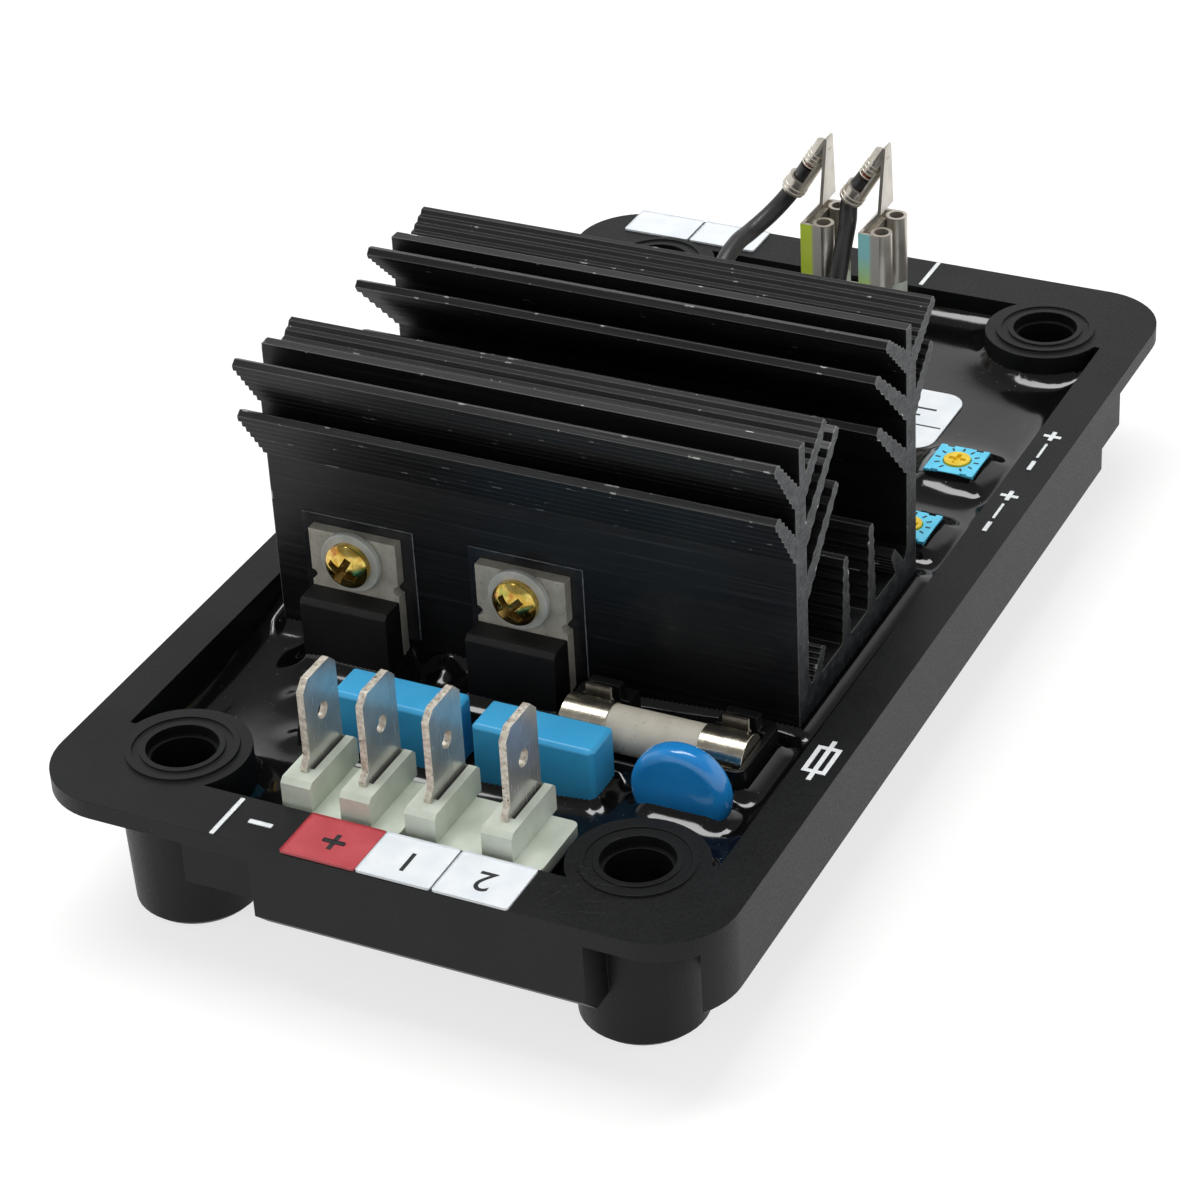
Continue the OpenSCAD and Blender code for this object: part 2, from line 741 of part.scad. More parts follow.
module front_tab(x) color(tin) translate([x, tab_y, 0]) blade(tab_h, shoulder);
module rear_tab(x)
    color(tin) translate([x, rear_tab_y, 0]) rotate(180) blade(rear_tab_h, rear_shoulder);

// Capacitors and varistor

module cap_box(x) translate([x, cap_y, deck_z]) bevelled_box(cap_l, cap_w, cap_h, cap_bevel);
module capacitor(x) color(cap_blue) cap_box(x);

module varistor_disc()
    translate([varistor_x, varistor_y, varistor_z]) to_front() rotate_extrude() {
        translate([0, -varistor_t/2]) square([varistor_d/2 - varistor_edge, varistor_t]);
        translate([0, -varistor_t/2 + varistor_edge])
            square([varistor_d/2, varistor_t - 2*varistor_edge]);
        for (s = [-1, 1]) translate([varistor_d/2 - varistor_edge, s*(varistor_t/2 - varistor_edge)])
            circle(varistor_edge);
    }

module varistor() color("#1478d2") varistor_disc();

// Fuse and its holder

module along_fuse(x) translate([x, fuse_y, fuse_z]) rotate([0, 90, 0]) children();

module fuse_tube()
    color("#b5ada0") along_fuse(fuse_x + fuse_cap_t) cylinder(h = fuse_l - 2*fuse_cap_t, d = fuse_d);

module fuse_cup()
    difference() {
        cylinder(h = fuse_cap_l, r = fuse_cap_r);
        translate([0, 0, fuse_cap_t]) cylinder(h = fuse_cap_l, d = fuse_d);
    }

module fuse_cap_left() color(tin) along_fuse(fuse_x) fuse_cup();
module fuse_cap_right() color(tin) along_fuse(fuse_x + fuse_l) mirror([0, 0, 1]) fuse_cup();

// Spring strip bent round the fuse cap, open at the top.
module clip_profile()
    difference() {
        union() {
            difference() {
                circle(clip_r);
                polygon(clip_mouth*[[0, 0], [sin(clip_rear_gap), cos(clip_rear_gap)], [0, 2],
                                    [-sin(clip_front_gap), cos(clip_front_gap)]]);
            }
            translate([-clip_foot, -clip_r]) square([2*clip_foot, clip_t]);
            rotate(-clip_rear_gap) translate([0, clip_r - clip_t/2]) rotate(clip_rear_gap)
                translate([-clip_t/2, -clip_t/2]) square([clip_t, lip_l]);
        }
        circle(fuse_cap_r);
    }

module fuse_clip(x)
    color("#d8d2bd") translate([x, fuse_y, fuse_z]) along_x() linear_extrude(clip_w) clip_profile();

module holder_block()
    translate([holder_x, holder_y, deck_z]) {
        translate([holder_l/2, holder_d/2, 0]) linear_extrude(holder_floor + holder_side)
            rounded_plan(holder_l, holder_d, holder_r);
        intersection() {
            translate([holder_l/2, holder_d/2, 0]) linear_extrude(holder_floor + holder_end)
                rounded_plan(holder_l, holder_d, holder_r);
            for (x = [0, holder_l - holder_end_l])
                translate([x, 0, 0]) cube([holder_end_l, holder_d, holder_floor + holder_end]);
        }
        for (x = clip_xs)
            translate([x - holder_x - clip_t, holder_d - holder_rear, 0])
                cube([clip_w + 2*clip_t, holder_stop_t, holder_floor + holder_stop]);
    }

module fuse_holder()
    color(black) difference() {
        holder_block();
        translate([fuse_x, fuse_y - trough_r, trough_z]) cube([fuse_l, 2*trough_r, holder_stop + past]);
    }

// Trimmers

module trimmer_block(y)
    translate([trimmer_x - trimmer_w/2, y - trimmer_w/2, deck_z])
        cube([trimmer_w, trimmer_w, trimmer_z - deck_z]);

module trimmer(y)
    color("#5cc8f5") difference() {
        trimmer_block(y);
        translate([trimmer_x, y, trimmer_z - rotor_h + rotor_proud - rotor_room])
            cylinder(h = rotor_h + past, d = rotor_d + 2*rotor_room);
        for (sx = [-1, 1], sy = [-1, 1])
            translate([trimmer_x + sx*trimmer_notch_x - trimmer_notch[0]/2,
                       y + sy*trimmer_w/2 - trimmer_notch[1], trimmer_z - trimmer_notch[2]])
                cube([trimmer_notch[0], 2*trimmer_notch[1], trimmer_notch[2] + past]);
    }

module rotor(y)
    color("#f2c62e") translate([trimmer_x, y, trimmer_z + rotor_proud - rotor_h]) difference() {
        cylinder(h = rotor_h, d = rotor_d);
        for (a = [0, 90]) rotate(a) translate([-rotor_d/2 + slot_w, -slot_w/2, rotor_h - slot_d])
            cube([rotor_d - 2*slot_w, slot_w, slot_d + past]);
    }

module rating_label()
    color("#e9eef0") translate([label_x, label_mid_y, resin_z]) linear_extrude(label_t)
        rounded_plan(label_w, label_l, label_r);

// Receptacles and leads

module strip_segment(a, b)
    let (run = (b - a)/norm(b - a), out = strip_t/2*[-run[1], run[0]])
        polygon([a + out, b + out, b - out, a - out]);

// Rolled receptacle body in plan, with the blade between floor and rolls.
module socket_plan() {
    wall_y = tab_w/2 + socket_room;
    roll_x = tab_t/2 + roll_r;
    difference() {
        union() {
            translate([-tab_t/2 - strip_t, -wall_y - strip_t]) square([strip_t, 2*(wall_y + strip_t)]);
            for (m = [0, 1]) mirror([0, m]) {
                translate([-tab_t/2 - strip_t, wall_y]) square([strip_t + tab_t + roll_r, strip_t]);
                translate([roll_x, wall_y + strip_t - roll_r]) circle(roll_r);
            }
        }
        for (s = [-1, 1]) translate([roll_x, s*(wall_y + strip_t - roll_r)]) circle(roll_r - strip_t);
    }
}

// Strip that rises from the floor, folds over and runs down to the crimps.
module neck_strip() {
    bend = [[-(tab_t + strip_t)/2, socket_top - strip_t/2], [neck_x - neck_lean, socket_top + neck_rise],
            [neck_x, neck_top],
            [neck_x, neck_top] - (wire_crimp[0] + bridge_in)/crimp_len*[crimp_reach, crimp_fall]];
    intersection() {
        rotate([90, 0, 0]) linear_extrude(neck_w, center = true) {
            for (i = [0:len(bend) - 2]) strip_segment(bend[i], bend[i + 1]);
            for (p = bend) translate(p) circle(d = strip_t);
        }
        translate([-2*crimp_reach, 0, 0]) along_x() linear_extrude(4*crimp_reach)
            polygon([[-neck_w/2, socket_top - past], [neck_w/2, socket_top - past],
                     [fold_w/2, neck_top + past], [-fold_w/2, neck_top + past]]);
    }
}

module crimps()
    translate([neck_x, 0, neck_top]) rotate([0, crimp_turn, 0]) {
        translate([0, 0, wire_crimp[0]]) cylinder(h = wire_crimp[1] - wire_crimp[0], r = wire_crimp_r);
        difference() {
            union() {
                translate([0, 0, grip_crimp[0]])
                    cylinder(h = grip_crimp[1] - grip_crimp[0], d = lead_d + 2*grip_t);
                intersection() {
                    translate([0, 0, wire_crimp[1] - bridge_in])
                        cylinder(h = grip_crimp[0] - wire_crimp[1] + 2*bridge_in, d = lead_d + 2*grip_t);
                    translate([-lead_d, -lead_d, 0])
                        cube([lead_d - bridge_drop, 2*lead_d, crimp_len]);
                }
            }
            translate([0, 0, wire_crimp[1]]) cylinder(h = crimp_len, d = lead_d);
        }
    }

module receptacle(x)
    color(tin) translate([x, rear_tab_y, 0]) {
        translate([0, 0, socket_z]) linear_extrude(socket_l) socket_plan();
        neck_strip();
        crimps();
    }

// Tube swept along a route, its last ring level.
function route_way(p, i) =
    i == 0 ? p[1] - p[0] : i == len(p) - 1 ? [0, 0, -1]
    : (p[i + 1] - p[i])/norm(p[i + 1] - p[i]) + (p[i] - p[i - 1])/norm(p[i] - p[i - 1]);

function route_ring(p, i) =
    let (way = route_way(p, i)/norm(route_way(p, i)),
         side = cross(way, [1, 0, 0])/norm(cross(way, [1, 0, 0])), up = cross(way, side))
    [for (k = [0:lead_sides - 1])
        p[i] + lead_d/2*(side*cos(360*k/lead_sides) + up*sin(360*k/lead_sides))];

module lead(route) {
    n = lead_sides;
    last = (len(route) - 1)*n;
    color("#2a2a2c") polyhedron(
        points = [for (i = [0:len(route) - 1]) each route_ring(route, i)],
        faces = concat(
            [[for (k = [0:n - 1]) k]],
            [for (i = [0:len(route) - 2], k = [0:n - 1])
                each [[i*n + k, i*n + n + k, i*n + n + (k + 1) % n],
                      [i*n + k, i*n + n + (k + 1) % n, i*n + (k + 1) % n]]],
            [[for (k = [n - 1:-1:0]) last + k]]));
}

potting_tray();
resin_fill();
circuit_board();
heat_sink();
transistor_body(transistor_xs[0]);  // transistor_body_left
transistor_body(transistor_xs[1]);  // transistor_body_right
transistor_plate(transistor_xs[0]);  // transistor_plate_left
transistor_plate(transistor_xs[1]);  // transistor_plate_right
insulator(transistor_xs[0]);  // insulator_left
insulator(transistor_xs[1]);  // insulator_right
bushing(transistor_xs[0]);  // bushing_left
bushing(transistor_xs[1]);  // bushing_right
screw(transistor_xs[0]);  // screw_left
screw(transistor_xs[1]);  // screw_right
block_left();  // terminal_block_left
block_right();  // terminal_block_right
block_rear();  // terminal_block_rear
front_tab(tab_1_x);  // tab_1
front_tab(tab_2_x);  // tab_2
front_tab(tab_3_x);  // tab_3
front_tab(tab_4_x);  // tab_4
rear_tab(tab_5_x);  // tab_5
rear_tab(tab_6_x);  // tab_6
capacitor(cap_left_x);  // capacitor_left
capacitor(cap_right_x);  // capacitor_right
varistor();
fuse_holder();
fuse_clip(clip_xs[0]);  // fuse_clip_left
fuse_clip(clip_xs[1]);  // fuse_clip_right
fuse_tube();
fuse_cap_left();
fuse_cap_right();
trimmer(trimmer_ys[0]);  // trimmer_front
trimmer(trimmer_ys[1]);  // trimmer_rear
rotor(trimmer_ys[0]);  // rotor_front
rotor(trimmer_ys[1]);  // rotor_rear
rating_label();
receptacle(tab_5_x);  // receptacle_left
receptacle(tab_6_x);  // receptacle_right
lead(lead_1_route);  // lead_left
lead(lead_2_route);  // lead_right
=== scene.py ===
import math

import bpy
from mathutils import Matrix, Vector, kdtree


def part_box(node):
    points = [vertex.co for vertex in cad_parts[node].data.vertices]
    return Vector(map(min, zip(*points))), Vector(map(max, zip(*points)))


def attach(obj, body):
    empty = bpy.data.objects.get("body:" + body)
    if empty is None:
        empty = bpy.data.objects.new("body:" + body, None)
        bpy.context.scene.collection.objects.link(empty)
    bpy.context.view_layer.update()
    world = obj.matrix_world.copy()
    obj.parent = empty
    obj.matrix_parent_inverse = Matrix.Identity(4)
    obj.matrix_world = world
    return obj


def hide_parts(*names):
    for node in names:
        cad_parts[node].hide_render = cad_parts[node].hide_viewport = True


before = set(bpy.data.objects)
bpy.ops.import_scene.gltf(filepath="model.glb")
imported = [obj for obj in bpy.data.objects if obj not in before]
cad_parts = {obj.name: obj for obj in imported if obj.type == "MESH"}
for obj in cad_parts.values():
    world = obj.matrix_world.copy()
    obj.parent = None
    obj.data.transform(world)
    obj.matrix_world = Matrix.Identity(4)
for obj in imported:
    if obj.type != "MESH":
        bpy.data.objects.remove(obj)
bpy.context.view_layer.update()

MM = 0.001
REGULATOR = "regulator"
WHITE = (1.0, 1.0, 1.0, 1.0)

# Camera: its place, lens and sensor in mm and its angles in degrees, solved from the tray's corners
# and holes; its near limit is in metres
CAMERA_PLACE = (150.66, -303.21, 223.44)
CAMERA_AZIMUTH = 27.399
CAMERA_ELEVATION = 32.493
CAMERA_ROLL = -3.218
CAMERA_LENS = 109.94
SENSOR_WIDTH = 36
CAMERA_NEAR = 0.01

# White walls that fade into a dim ceiling between two heights in degrees
WALL_LIGHT = 0.94
CEILING_LIGHT = 0.24
WALL_FADE = (29, 39)
# One softbox, in metres and watts
SOFTBOX_PLACE = (-0.10, 0.10, 0.78)
SOFTBOX_SIZE = (0.75, 0.20)
SOFTBOX_POWER = 4.8
# The floor: its size in metres and how bright it shows
FLOOR_SIZE = 6.0
FLOOR_GLOW = 0.72

# Heights and thicknesses in mm
RIM_TOP = 17.5
FILM = 0.06
INK = 0.05
# How far films and ink sink into what carries them
FILM_SINK = 0.02
INK_SINK = 0.01
# What counts as one point, in mm, and as one flat face
MERGE = 0.002
FLAT_ANGLE = math.radians(0.6)
# Shares of a unit normal: over the first a face looks along an axis, under the second across it
LOOKS_ALONG = 0.9
LOOKS_ACROSS = 0.5

# Resin surface: sizes in mm and one angle
RESIN_PITCH = 0.55
RESIN_SKIN = 0.04
GRID_MARGIN = 2
GRID_BELOW = 1
LEVEL_SLACK = 0.005
SHORE_KEEP = 0.01
SHORE_STEP = 0.1
SMOOTH_UNDER = math.radians(50)
MENISCUS_RISE = 1.5
MENISCUS_REACH = 1.3
MENISCUS_ZONE = 3.2
# It sank towards the front left: how far, the x and y where that starts and the lengths over which it grows
RESIN_DIP = 2.1
DIP_START = (21, -22)
DIP_LENGTH = (24, 20)
# Lumps where it set over something: x, y, radius and height
RESIN_LUMPS = [(-23.2, -37.0, 1.6, 0.7), (-19.8, -43.2, 1.6, 0.7), (-23.5, -30.6, 1.8, 0.7),
               (-10.2, -28.8, 2.2, 0.9), (-10.3, 37.0, 2.0, 0.5), (1.3, 48.5, 2.0, 0.5)]
# The mounds at the trimmers: radius and height
TRIMMER_MOUND = (5.0, 1.1)
# Rings that burst bubbles left: x, y, radius and height
RESIN_RINGS = [(15.6, -42.3, 1.9, 0.10), (-18.6, -51.0, 2.6, 0.14)]
RING_WIDTH = 0.3


def linear(code):
    """An sRGB hex colour as linear red, green, blue and alpha."""
    parts = [int(code[i:i + 2], 16) / 255 for i in (1, 3, 5)]
    return tuple(c / 12.92 if c <= 0.04045 else ((c + 0.055) / 1.055) ** 2.4 for c in parts) + (1.0,)


def per_mm(size):
    """The texture scale that draws a feature of this size in mm."""
    return 1 / (size * MM)


def add(tree, kind, sockets=None, stops=(), **settings):
    """Adds a shader node: settings are its own properties, sockets are values or links, and stops are the
    colours of a ramp."""
    made = tree.nodes.new("ShaderNode" + kind)
    for name, value in settings.items():
        setattr(made, name, value)
    for socket, value in (sockets or {}).items():
        if isinstance(value, bpy.types.NodeSocket):
            tree.links.new(value, made.inputs[socket])
        else:
            made.inputs[socket].default_value = value
    for i, (place, colour) in enumerate(stops):
        ramp = made.color_ramp.elements
        stop = ramp[i] if i < 2 else ramp.new(place)
        stop.position, stop.color = place, colour
    return made


def surface(name, tones, patch, rough, grain, depth, metallic=0.0, stretch=(1, 1, 1), shader_values=None):
    """A finish with clouds of two tones, and a fine relief that also varies the roughness.
    Patch is the size of the clouds, grain that of the relief and depth its height, in mm; rough is the range
    of the roughness, and stretch how many times longer the relief is along each axis."""
    material = bpy.data.materials.new(name)
    material.use_nodes = True
    tree = material.node_tree
    shader = tree.nodes["Principled BSDF"]
    shader.inputs["Metallic"].default_value = metallic
    for socket, value in (shader_values or {}).items():
        shader.inputs[socket].default_value = value
    place = add(tree, "TexCoord").outputs["Object"]
    drawn = add(tree, "Mapping", {"Vector": place, "Scale": stretch}, vector_type="TEXTURE").outputs["Vector"]
    clouds = add(tree, "TexNoise", {"Vector": place, "Scale": per_mm(patch), "Detail": 3.0})
    colour = add(tree, "ValToRGB", {"Fac": clouds.outputs["Fac"]},
                 stops=[(0.35, linear(tones[0])), (0.65, linear(tones[1]))])
    relief = add(tree, "TexNoise", {"Vector": drawn, "Scale": per_mm(grain), "Detail": 2.0})
    gloss = add(tree, "MapRange", {"Value": relief.outputs["Fac"], "From Min": 0.3, "From Max": 0.7,
                                   "To Min": rough[0], "To Max": rough[1]})
    bump = add(tree, "Bump", {"Height": relief.outputs["Fac"], "Distance": depth * MM})
    tree.links.new(colour.outputs["Color"], shader.inputs["Base Color"])
    tree.links.new(gloss.outputs["Result"], shader.inputs["Roughness"])
    tree.links.new(bump.outputs["Normal"], shader.inputs["Normal"])
    return material


def overlay(material, mask, tone, rough=None):
    """Lays a second tone over a finish where the mask socket is high, and a roughness where one is given."""
    tree = material.node_tree
    shader = tree.nodes["Principled BSDF"]
    under = shader.inputs["Base Color"].links[0].from_socket
    mixed = add(tree, "Mix", {0: mask, 6: under, 7: linear(tone)}, data_type="RGBA")
    tree.links.new(mixed.outputs[2], shader.inputs["Base Color"])
    if rough is not None:
        worn = add(tree, "Mix", {0: mask, 2: shader.inputs["Roughness"].links[0].from_socket, 3: rough})
        tree.links.new(worn.outputs[0], shader.inputs["Roughness"])


def specks(material, size, low, high, stretch=(1, 1, 1), turn=0.0, zone=None):
    """A mask socket of scattered spots, high where a noise of this size in mm passes from low to high.
    A zone, a centre and a radius in mm, keeps the spots to one place."""
    tree = material.node_tree
    place = add(tree, "TexCoord").outputs["Object"]
    drawn = add(tree, "Mapping", {"Vector": place, "Scale": stretch, "Rotation": (0, 0, math.radians(turn))},
                vector_type="TEXTURE").outputs["Vector"]
    spots = add(tree, "TexNoise", {"Vector": drawn, "Scale": per_mm(size), "Detail": 4.0})
    mask = add(tree, "MapRange", {"Value": spots.outputs["Fac"], "From Min": low, "From Max": high})
    if zone is None:
        return mask.outputs["Result"]
    centre, radius = zone
    away = add(tree, "VectorMath", {0: place, 1: Vector(centre) * MM}, operation="DISTANCE")
    near = add(tree, "MapRange", {"Value": away.outputs["Value"], "From Min": radius * MM,
                                  "From Max": radius * MM / 2})
    return overlap(material, mask.outputs["Result"], near.outputs["Result"])


# The cosines between which a rounded normal has turned far enough from its face to count as an edge
EDGE_TURN = (0.98, 0.88)


def edge_mask(material, radius):
    """A mask socket that is high within a radius in mm of a sharp edge."""
    tree = material.node_tree
    rounded = add(tree, "Bevel", {"Radius": radius * MM}, samples=8).outputs["Normal"]
    flat = add(tree, "NewGeometry").outputs["True Normal"]
    turned = add(tree, "VectorMath", {0: rounded, 1: flat}, operation="DOT_PRODUCT").outputs["Value"]
    return add(tree, "MapRange", {"Value": turned, "From Min": EDGE_TURN[0],
                                  "From Max": EDGE_TURN[1]}).outputs["Result"]


def overlap(material, first, second):
    """A mask socket that is high where both masks are."""
    return add(material.node_tree, "Math", {0: first, 1: second}, operation="MULTIPLY").outputs[0]


def span_mask(material, axis, low, high):
    """A mask socket that grows from 0 to 1 between two places in mm along an axis."""
    tree = material.node_tree
    place = add(tree, "TexCoord").outputs["Object"]
    along = add(tree, "SeparateXYZ", {0: place}).outputs[axis]
    return add(tree, "MapRange", {"Value": along, "From Min": low * MM,
                                  "From Max": high * MM}).outputs["Result"]


# Finishes

# Glass-filled polyamide, injection moulded: a near-black satin skin with a fine grain
tray_plastic = surface("glass_filled_polyamide", ("#0d0e0f", "#141516"), 7, (0.38, 0.52), 0.22, 0.012,
                       shader_values={"Specular IOR Level": 0.23})
# Handling leaves pale hair scratches, most of them on the land at the near right corner
NEAR_LAND = ((21.5, -62.6, RIM_TOP), 5.5)
overlay(tray_plastic, specks(tray_plastic, 0.5, 0.72, 0.80, (22, 1, 1), 24), "#393b3c", 0.6)
overlay(tray_plastic, specks(tray_plastic, 0.35, 0.60, 0.74, (26, 1, 1), 14, NEAR_LAND), "#3e3f40", 0.55)
overlay(tray_plastic, specks(tray_plastic, 0.4, 0.66, 0.78, (3, 1, 1), 60, NEAR_LAND), "#474849", 0.55)

# Cast epoxy: a black mirror with slow waves where it set
potting_resin = surface("cast_epoxy", ("#08080a", "#0e0e0f"), 12, (0.07, 0.12), 6.0, 0.030)
# Dust that settled on it
overlay(potting_resin, specks(potting_resin, 0.4, 0.70, 0.76), "#6d6d6b", 0.5)

# Glass epoxy laminate: a brownish green sheet with a faint weave, hidden under the resin
board_laminate = surface("glass_epoxy_laminate", ("#3f4a2b", "#4b5733"), 4, (0.4, 0.5), 0.5, 0.01)

# Anodised aluminium, extruded: black satin metal with die lines along its length
anodised = surface("black_anodised_aluminium", ("#0c0d0f", "#131417"), 9, (0.34, 0.48), 0.25, 0.012,
                   metallic=0.3, stretch=(60, 1, 1))
overlay(anodised, specks(anodised, 0.30, 0.58, 0.70, (90, 1, 1)), "#292a2c", 0.36)
# The sawn ends of the extrusion: dark grey with cross-cut saw marks and pale and black chips
sawn_end = surface("sawn_anodised_aluminium", ("#2b2e31", "#474b4f"), 1.2, (0.42, 0.60), 0.25, 0.04,
                   metallic=0.4, stretch=(1, 5, 1))
overlay(sawn_end, specks(sawn_end, 0.20, 0.62, 0.72, (1, 2, 1)), "#7d7f7d", 0.4)
overlay(sawn_end, specks(sawn_end, 0.9, 0.60, 0.72, turn=50), "#16181a", 0.5)
# Edges: a paler grey line, partly worn anodising and partly painted highlight, nicked down to bright metal
# here and there
for finish in (anodised, sawn_end):
    overlay(finish, edge_mask(finish, 0.2), "#7c7d78", 0.4)
    overlay(finish, overlap(finish, edge_mask(finish, 0.4), specks(finish, 1.7, 0.66, 0.68)), "#fbfaf4", 0.35)

# Moulded epoxy of a transistor case: matt black with an even grain
case_epoxy = surface("moulded_case_epoxy", ("#0d0d0e", "#151516"), 5, (0.50, 0.65), 0.18, 0.03,
                     shader_values={"Specular IOR Level": 0.35})

# Nickel-plated copper: pale warm grey metal, matt from etching
nickel_plate = surface("nickel_plated_copper", ("#aba79b", "#bfbbaf"), 1.5, (0.50, 0.66), 0.20, 0.03,
                       metallic=0.3)
overlay(nickel_plate, specks(nickel_plate, 0.3, 0.62, 0.72), "#8d897d")

# Mica sheet: a thin dark plate with a silvery split edge
mica_sheet = surface("mica_sheet", ("#1c1d20", "#2a2a2c"), 5, (0.18, 0.30), 3.0, 0.02)
mica_edge = surface("split_mica_edge", ("#7c8186", "#a9adb0"), 1.0, (0.3, 0.5), 0.3, 0.02)

# Natural nylon, turned: waxy grey white that lets a little light through
bushing_nylon = surface("natural_nylon", ("#b3b5b0", "#c5c7c2"), 2, (0.35, 0.50), 0.4, 0.01,
                        shader_values={"Subsurface Weight": 0.25,
                                       "Subsurface Radius": (0.0008, 0.0008, 0.0006)})

# Yellow chromate on zinc: gold metal that shades to green and rose
yellow_zinc = surface("yellow_chromated_zinc", ("#c79a3a", "#f0d77a"), 1.0, (0.14, 0.24), 1.5, 0.01,
                      metallic=1.0)
overlay(yellow_zinc, specks(yellow_zinc, 1.3, 0.55, 0.72), "#b5683c")
overlay(yellow_zinc, specks(yellow_zinc, 1.7, 0.58, 0.75, turn=40), "#9aa552")

# The cross recess: darker bronze, painted shade
dark_recess = surface("cross_recess_painted_shade", ("#8a6f38", "#b89a55"), 1.0, (0.25, 0.40), 0.5, 0.01, metallic=0.8)

# Milky nylon of the terminal blocks: pale green white, slightly cloudy, softly glossy
block_nylon = surface("milky_nylon", ("#c6cec0", "#d6ddd0"), 3, (0.34, 0.46), 0.5, 0.012,
                      shader_values={"Subsurface Weight": 0.3, "Subsurface Radius": (0.0012, 0.0013, 0.0010)})

# The same nylon inside the slots beside the blades: near black, painted shade along with the dirt that
# gathers there
slot_shade_and_dirt_nylon = surface("nylon_slot_painted_shade_and_dirt", ("#141411", "#201f1a"), 1.5, (0.5, 0.65), 0.3, 0.01)

# Tin-plated brass strip: a soft mirror with faint rolling marks up the blade
tinned_brass = surface("tin_plated_brass", ("#c6c5c0", "#d8d7d1"), 2.5, (0.20, 0.28), 0.30, 0.004,
                       metallic=0.65, stretch=(1, 1, 14))
# Its stamped edges: pale bare metal, torn into speckles by the punch
stamped_edge = surface("stamped_brass_edge", ("#b7ad9f", "#e2dccf"), 0.5, (0.40, 0.60), 0.25, 0.05,
                       metallic=0.6)
overlay(stamped_edge, specks(stamped_edge, 0.45, 0.62, 0.72), "#7d6f5f")
# Tinned strip of the receptacles: smooth and soft, with pale sheared edges
receptacle_strip = surface("tinned_receptacle_strip", ("#c2bcb2", "#d6d0c5"), 2.5, (0.26, 0.34), 3.0, 0.004,
                           metallic=0.75, stretch=(1, 1, 4))
sheared_edge = surface("sheared_strip_edge", ("#c9c2b6", "#dcd6ca"), 1.5, (0.32, 0.42), 1.0, 0.003,
                       metallic=0.5)
# Colour on the receptacles' front sides: lime, or lime that turns teal higher up
lime_front_colour = surface("lime_front_colour", ("#e4ff52", "#ecff66"), 3, (0.30, 0.42), 0.4, 0.006)
lime_to_teal_front_colour = surface("teal_and_lime_front_colour", ("#e0fa70", "#e8ff7c"), 3, (0.30, 0.42), 0.4, 0.006)
overlay(lime_to_teal_front_colour, span_mask(lime_to_teal_front_colour, "Z", 21.5, 26.0), "#aaf2f4")
# It fades into bare tin where the strip rolls up, between two x values
for finish, bare_from, bare_to in ((lime_front_colour, -2.3, -1.9), (lime_to_teal_front_colour, 5.0, 5.4)):
    overlay(finish, span_mask(finish, "X", bare_from, bare_to), "#c4bfb8")

# Boxed capacitor plastic: sky blue, smooth, with soft edges
capacitor_case = surface("boxed_polypropylene", ("#3aa6dc", "#46b2e6"), 6, (0.30, 0.42), 0.6, 0.008)

# Varistor lacquer: glossy blue with a slow orange peel
varistor_coat = surface("dipped_epoxy_lacquer", ("#1c82cc", "#2690da"), 4, (0.14, 0.22), 1.4, 0.02,
                        shader_values={"Coat Weight": 0.4, "Coat Roughness": 0.08})

# Fired ceramic fuse tube: warm grey, chalky, with fine dark flecks
fuse_ceramic = surface("fired_ceramic", ("#d2ccbc", "#dfd8c9"), 2, (0.55, 0.70), 0.18, 0.02)
overlay(fuse_ceramic, specks(fuse_ceramic, 0.35, 0.66, 0.74), "#968e81")

# Nickel-plated brass caps and spring bronze clips: bright warm metal with pale cut edges
nickel_cap = surface("nickel_plated_brass", ("#c4bcaa", "#dcd4c2"), 1.5, (0.18, 0.28), 1.2, 0.010,
                     metallic=1.0)
spring_strip = surface("nickel_plated_spring_bronze", ("#958d7e", "#ada492"), 1.5, (0.20, 0.30), 2.0, 0.004,
                       metallic=1.0)

# The same strip where it faces the dark heat sink: painted dark brown, a painted reflection of the heat sink
lip_painted_dark_reflection = surface("spring_bronze_painted_dark_reflection", ("#2a2723", "#3a3630"), 1.5, (0.24, 0.34), 2.0, 0.004)

# Fuse holder: black moulded thermoplastic, a little glossier than the tray
holder_plastic = surface("moulded_black_polyester", ("#0d0e0f", "#151617"), 5, (0.28, 0.40), 0.25, 0.008,
                         shader_values={"Specular IOR Level": 0.4})

# Trimmer case: pale sky-blue moulding; its rotor is clear yellow
trimmer_case = surface("sky_blue_polyester", ("#5cccf0", "#6ad8f8"), 2, (0.36, 0.48), 0.3, 0.010)
rotor_plastic = surface("yellow_nylon", ("#e6c222", "#f2d236"), 1.2, (0.34, 0.48), 0.25, 0.012)

# Polyester label films, smooth with a soft gloss, and matt screen-printed inks
label_film = surface("white_polyester_film", ("#e8eef3", "#f3f7fa"), 3, (0.35, 0.48), 0.5, 0.004)
red_film = surface("red_polyester_film", ("#b9434b", "#c54f57"), 3, (0.36, 0.50), 0.5, 0.004)
white_ink = surface("white_screen_ink", ("#dfe4e6", "#f0f3f4"), 0.8, (0.5, 0.65), 0.2, 0.01)
black_ink = surface("black_screen_ink", ("#161618", "#222326"), 0.8, (0.5, 0.65), 0.2, 0.01)

# Lead jacket: soft black vinyl, greyed by handling; the strands inside are bare copper
lead_jacket = surface("black_vinyl", ("#232325", "#303032"), 4, (0.36, 0.50), 0.4, 0.010)
copper_strand = surface("bare_copper", ("#a8603a", "#d68e66"), 0.6, (0.25, 0.40), 0.2, 0.01, metallic=1.0)


# Modelling steps

def work_on(piece):
    """Deselects everything, then selects this piece alone."""
    bpy.ops.object.select_all(action="DESELECT")
    piece.select_set(True)
    bpy.context.view_layer.objects.active = piece


def edit(piece, *steps):
    """Runs edit-mode operators on the whole piece: each step is an operator and its settings."""
    work_on(piece)
    bpy.ops.object.mode_set(mode="EDIT")
    bpy.ops.mesh.select_all(action="SELECT")
    for operator, settings in steps:
        operator(**settings)
    bpy.ops.object.mode_set(mode="OBJECT")


